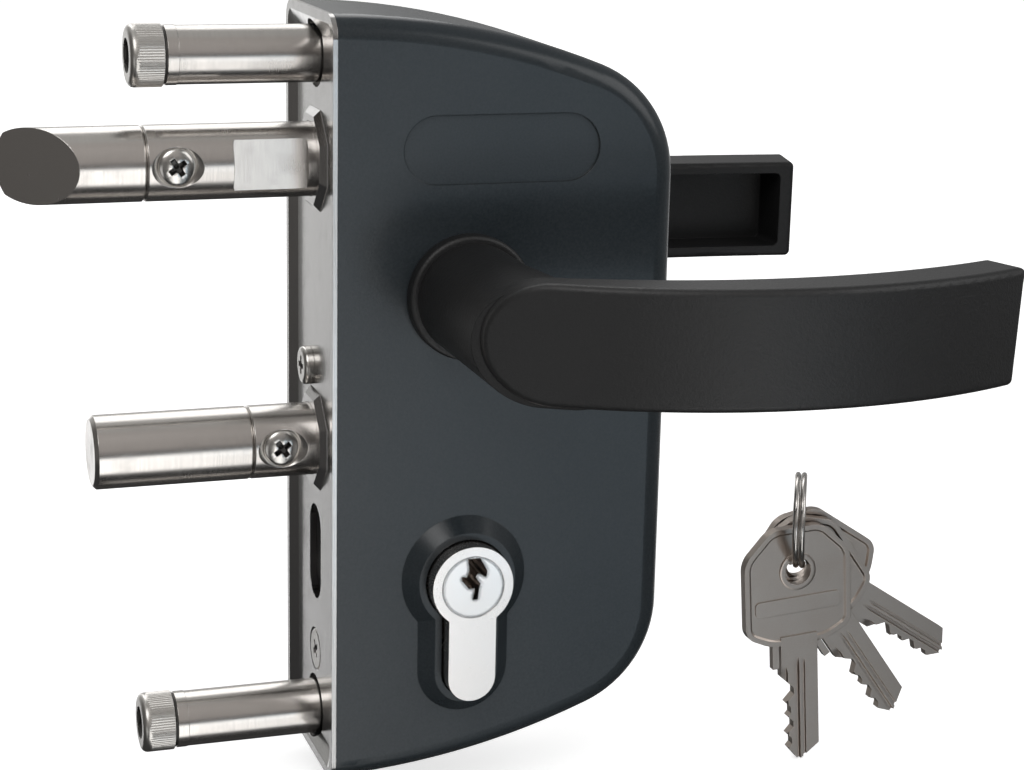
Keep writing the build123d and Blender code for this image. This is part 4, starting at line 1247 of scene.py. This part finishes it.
class GATELOCK_OT_studio(bpy.types.Operator):
    """Sets up the floor, the lamps, the world and the camera"""

    bl_idname = "gatelock.studio"
    bl_label = "Studio"

    def execute(self, context):
        self.floor(context.scene.gate_lock_colours.floor)
        self.world()
        for name, place, power in LAMPS:
            self.lamp(name, place, power)
        self.camera()
        context.scene.view_settings.view_transform = "Standard"
        return {"FINISHED"}

    def floor(self, colour):
        """Pale floor that shows white behind the lock and keeps its shadow."""
        set_down()
        bpy.ops.mesh.primitive_grid_add(
            x_subdivisions=8, y_subdivisions=8, size=FLOOR_SIZE, location=(0, 0, cad_low.z - FLOOR_GAP)
        )
        floor = taken("studio_floor")
        settle(floor)
        finish = Finish("studio_floor")
        cloud = finish.noise(0.4)
        finish.set(base_color=finish.mixed(cloud, tuple(colour), darker(colour, 0.01)))
        finish.set(roughness=0.7)
        camera = Amount(finish, finish.node("ShaderNodeLightPath").outputs["Is Camera Ray"])
        finish.shader.inputs["Emission Strength"].default_value = 1.0
        finish.set(emission_color=finish.mixed(camera * FLOOR_GLOW, (0, 0, 0), (1, 1, 1)))
        floor.data.materials.append(finish.material)
        floor.visible_glossy = False

    def world(self):
        """White to the camera, an even light, and in the metal a grey room with bright boxes."""
        world = bpy.data.worlds.new("studio_world")
        bpy.context.scene.world = world
        recipe = Recipe(world)
        path = recipe.node("ShaderNodeLightPath").outputs
        camera = Amount(recipe, path["Is Camera Ray"])
        mirrored = Amount(recipe, path["Is Glossy Ray"]) + Amount(recipe, path["Is Transmission Ray"])
        shown = recipe.mixed(camera, self.room(recipe), (1.0, 1.0, 1.0))
        soft = recipe.node("ShaderNodeBackground", {}, {"Color": (1, 1, 1, 1), "Strength": WORLD_SOFT})
        bright = recipe.node("ShaderNodeBackground", {}, {"Color": shown, "Strength": 1.0})
        mix = recipe.node(
            "ShaderNodeMixShader", {}, {0: camera + mirrored, 1: soft.outputs[0], 2: bright.outputs[0]}
        )
        recipe.node("ShaderNodeOutputWorld", {}, {"Surface": mix.outputs[0]})

    def room(self, recipe):
        """Colour of the room in every direction: grey walls first, then the boxes of light.

        Each step is a range on one axis of the direction, whose length is 1.
        """
        sky = recipe.node("ShaderNodeTexCoord").outputs["Generated"]
        parts = recipe.node("ShaderNodeSeparateXYZ", {}, {0: sky}).outputs
        right, back, up = (Amount(recipe, part) for part in parts)
        left, front, down = 0 - right, 0 - back, 0 - up
        high = recipe.mixed(right.step(0.22, 0.34), ROOM_HIGH, ROOM_SIDE)
        behind = recipe.mixed(right.step(0.22, 0.30), BACKDROP, BACKDROP_SIDE)
        room = recipe.mixed(up.step(0.0, 0.3), ROOM_LOW, high)
        room = recipe.mixed(front.step(0.05, 0.40), behind, room)
        room = recipe.mixed(left.step(0.45, 0.8), room, ROOM_LOW)
        room = recipe.mixed(down.step(0.12, 0.40), room, UNDER)

        bolt_ends = left.band(0.0, 0.05, 0.19, 0.23) * back.step(0.4, 0.7) * (1 - down.step(0.40, 0.50))
        room = recipe.mixed(bolt_ends, room, END_BOX)
        bolts = down.band(0.08, 0.15, 0.80, 0.90) * right.band(-0.15, 0.05, 0.19, 0.24)
        room = recipe.mixed(bolts * front.step(0.40, 0.60), room, SOFT_BOX)
        cover = down.step(0.205, 0.245) * (1 - 0.85 * down.step(0.28, 0.38))
        cover = cover + down.band(0.02, 0.07, 0.135, 0.165)
        cover = cover * front.step(0.25, 0.55) * right.band(0.2, 0.26, 0.38, 0.48)
        room = recipe.mixed(cover, room, SIDE_BOX)

        level = down.band(0.0, 0.1, 0.5, 0.7)
        rear = back.step(0.45, 0.6) * right.step(0.5, 0.6)
        far_left = front.step(0.35, 0.5) * left.step(0.45, 0.55)
        return recipe.mixed(level * (rear + far_left), room, FAR_BOX)

    def lamp(self, name, place, power):
        """Square lamp that shines at the middle of the lock."""
        data = bpy.data.lights.new(name, "AREA")
        data.shape = "SQUARE"
        data.size = LAMP_SIZE
        data.energy = power
        lamp = bpy.data.objects.new(name, data)
        bpy.context.scene.collection.objects.link(lamp)
        lamp.location = place
        aim = (cad_low + cad_high) / 2 - Vector(place)
        lamp.rotation_euler = aim.to_track_quat("-Z", "Y").to_euler()

    def camera(self):
        """The camera of the photograph, turned by its yaw, pitch and roll."""
        data = bpy.data.cameras.new("photo_camera")
        data.lens = LENS
        data.sensor_width = SENSOR_WIDTH
        data.clip_start = 0.01
        data.clip_end = 20
        camera = bpy.data.objects.new("photo_camera", data)
        bpy.context.scene.collection.objects.link(camera)
        level = Vector((math.cos(YAW), -math.sin(YAW), 0))
        far = math.cos(PITCH)
        ahead = Vector((math.sin(YAW) * far, math.cos(YAW) * far, -math.sin(PITCH)))
        up = level.cross(ahead)
        right = math.cos(ROLL) * level + math.sin(ROLL) * up
        top = math.cos(ROLL) * up - math.sin(ROLL) * level
        turn = Matrix((right, top, -ahead)).transposed().to_4x4()
        camera.matrix_world = Matrix.Translation(CAMERA_PLACE) @ turn
        bpy.context.scene.camera = camera


class GATELOCK_PT_panel(bpy.types.Panel):
    """Lists the steps that dress the lock"""

    bl_idname = "GATELOCK_PT_panel"
    bl_label = "Gate lock"
    bl_space_type = "VIEW_3D"
    bl_region_type = "UI"
    bl_category = "Gate lock"

    def draw(self, context):
        for step in STEPS:
            self.layout.operator(step.bl_idname)
        for group in GROUPS:
            settings = getattr(context.scene, group)
            box = self.layout.box()
            for name in settings.bl_rna.properties.keys():
                if name not in ("name", "rna_type"):
                    box.prop(settings, name)


GROUPS = {
    "gate_lock_keys": GateLockKeySizes,
    "gate_lock_screws": GateLockScrewSizes,
    "gate_lock_springs": GateLockSpringSizes,
    "gate_lock_colours": GateLockColours,
}
STEPS = (
    GATELOCK_OT_finishes,
    GATELOCK_OT_fixing_screws,
    GATELOCK_OT_bolt_screws,
    GATELOCK_OT_tray_screws,
    GATELOCK_OT_cover_screws,
    GATELOCK_OT_keys,
    GATELOCK_OT_key_ring,
    GATELOCK_OT_springs,
    GATELOCK_OT_studio,
)


def register():
    for group, kind in GROUPS.items():
        bpy.utils.register_class(kind)
        setattr(bpy.types.Scene, group, PointerProperty(type=kind))
    for kind in STEPS + (GATELOCK_PT_panel,):
        bpy.utils.register_class(kind)


def unregister():
    for kind in reversed(STEPS + (GATELOCK_PT_panel,)):
        bpy.utils.unregister_class(kind)
    for group, kind in reversed(GROUPS.items()):
        delattr(bpy.types.Scene, group)
        bpy.utils.unregister_class(kind)


def main():
    """Dresses the lock."""
    register()
    bpy.ops.gatelock.finishes()
    bpy.ops.gatelock.fixing_screws()
    bpy.ops.gatelock.bolt_screws()
    bpy.ops.gatelock.tray_screws()
    bpy.ops.gatelock.cover_screws()
    bpy.ops.gatelock.keys()
    bpy.ops.gatelock.key_ring()
    bpy.ops.gatelock.springs()
    bpy.ops.gatelock.studio()


if __name__ == "__main__":
    main()
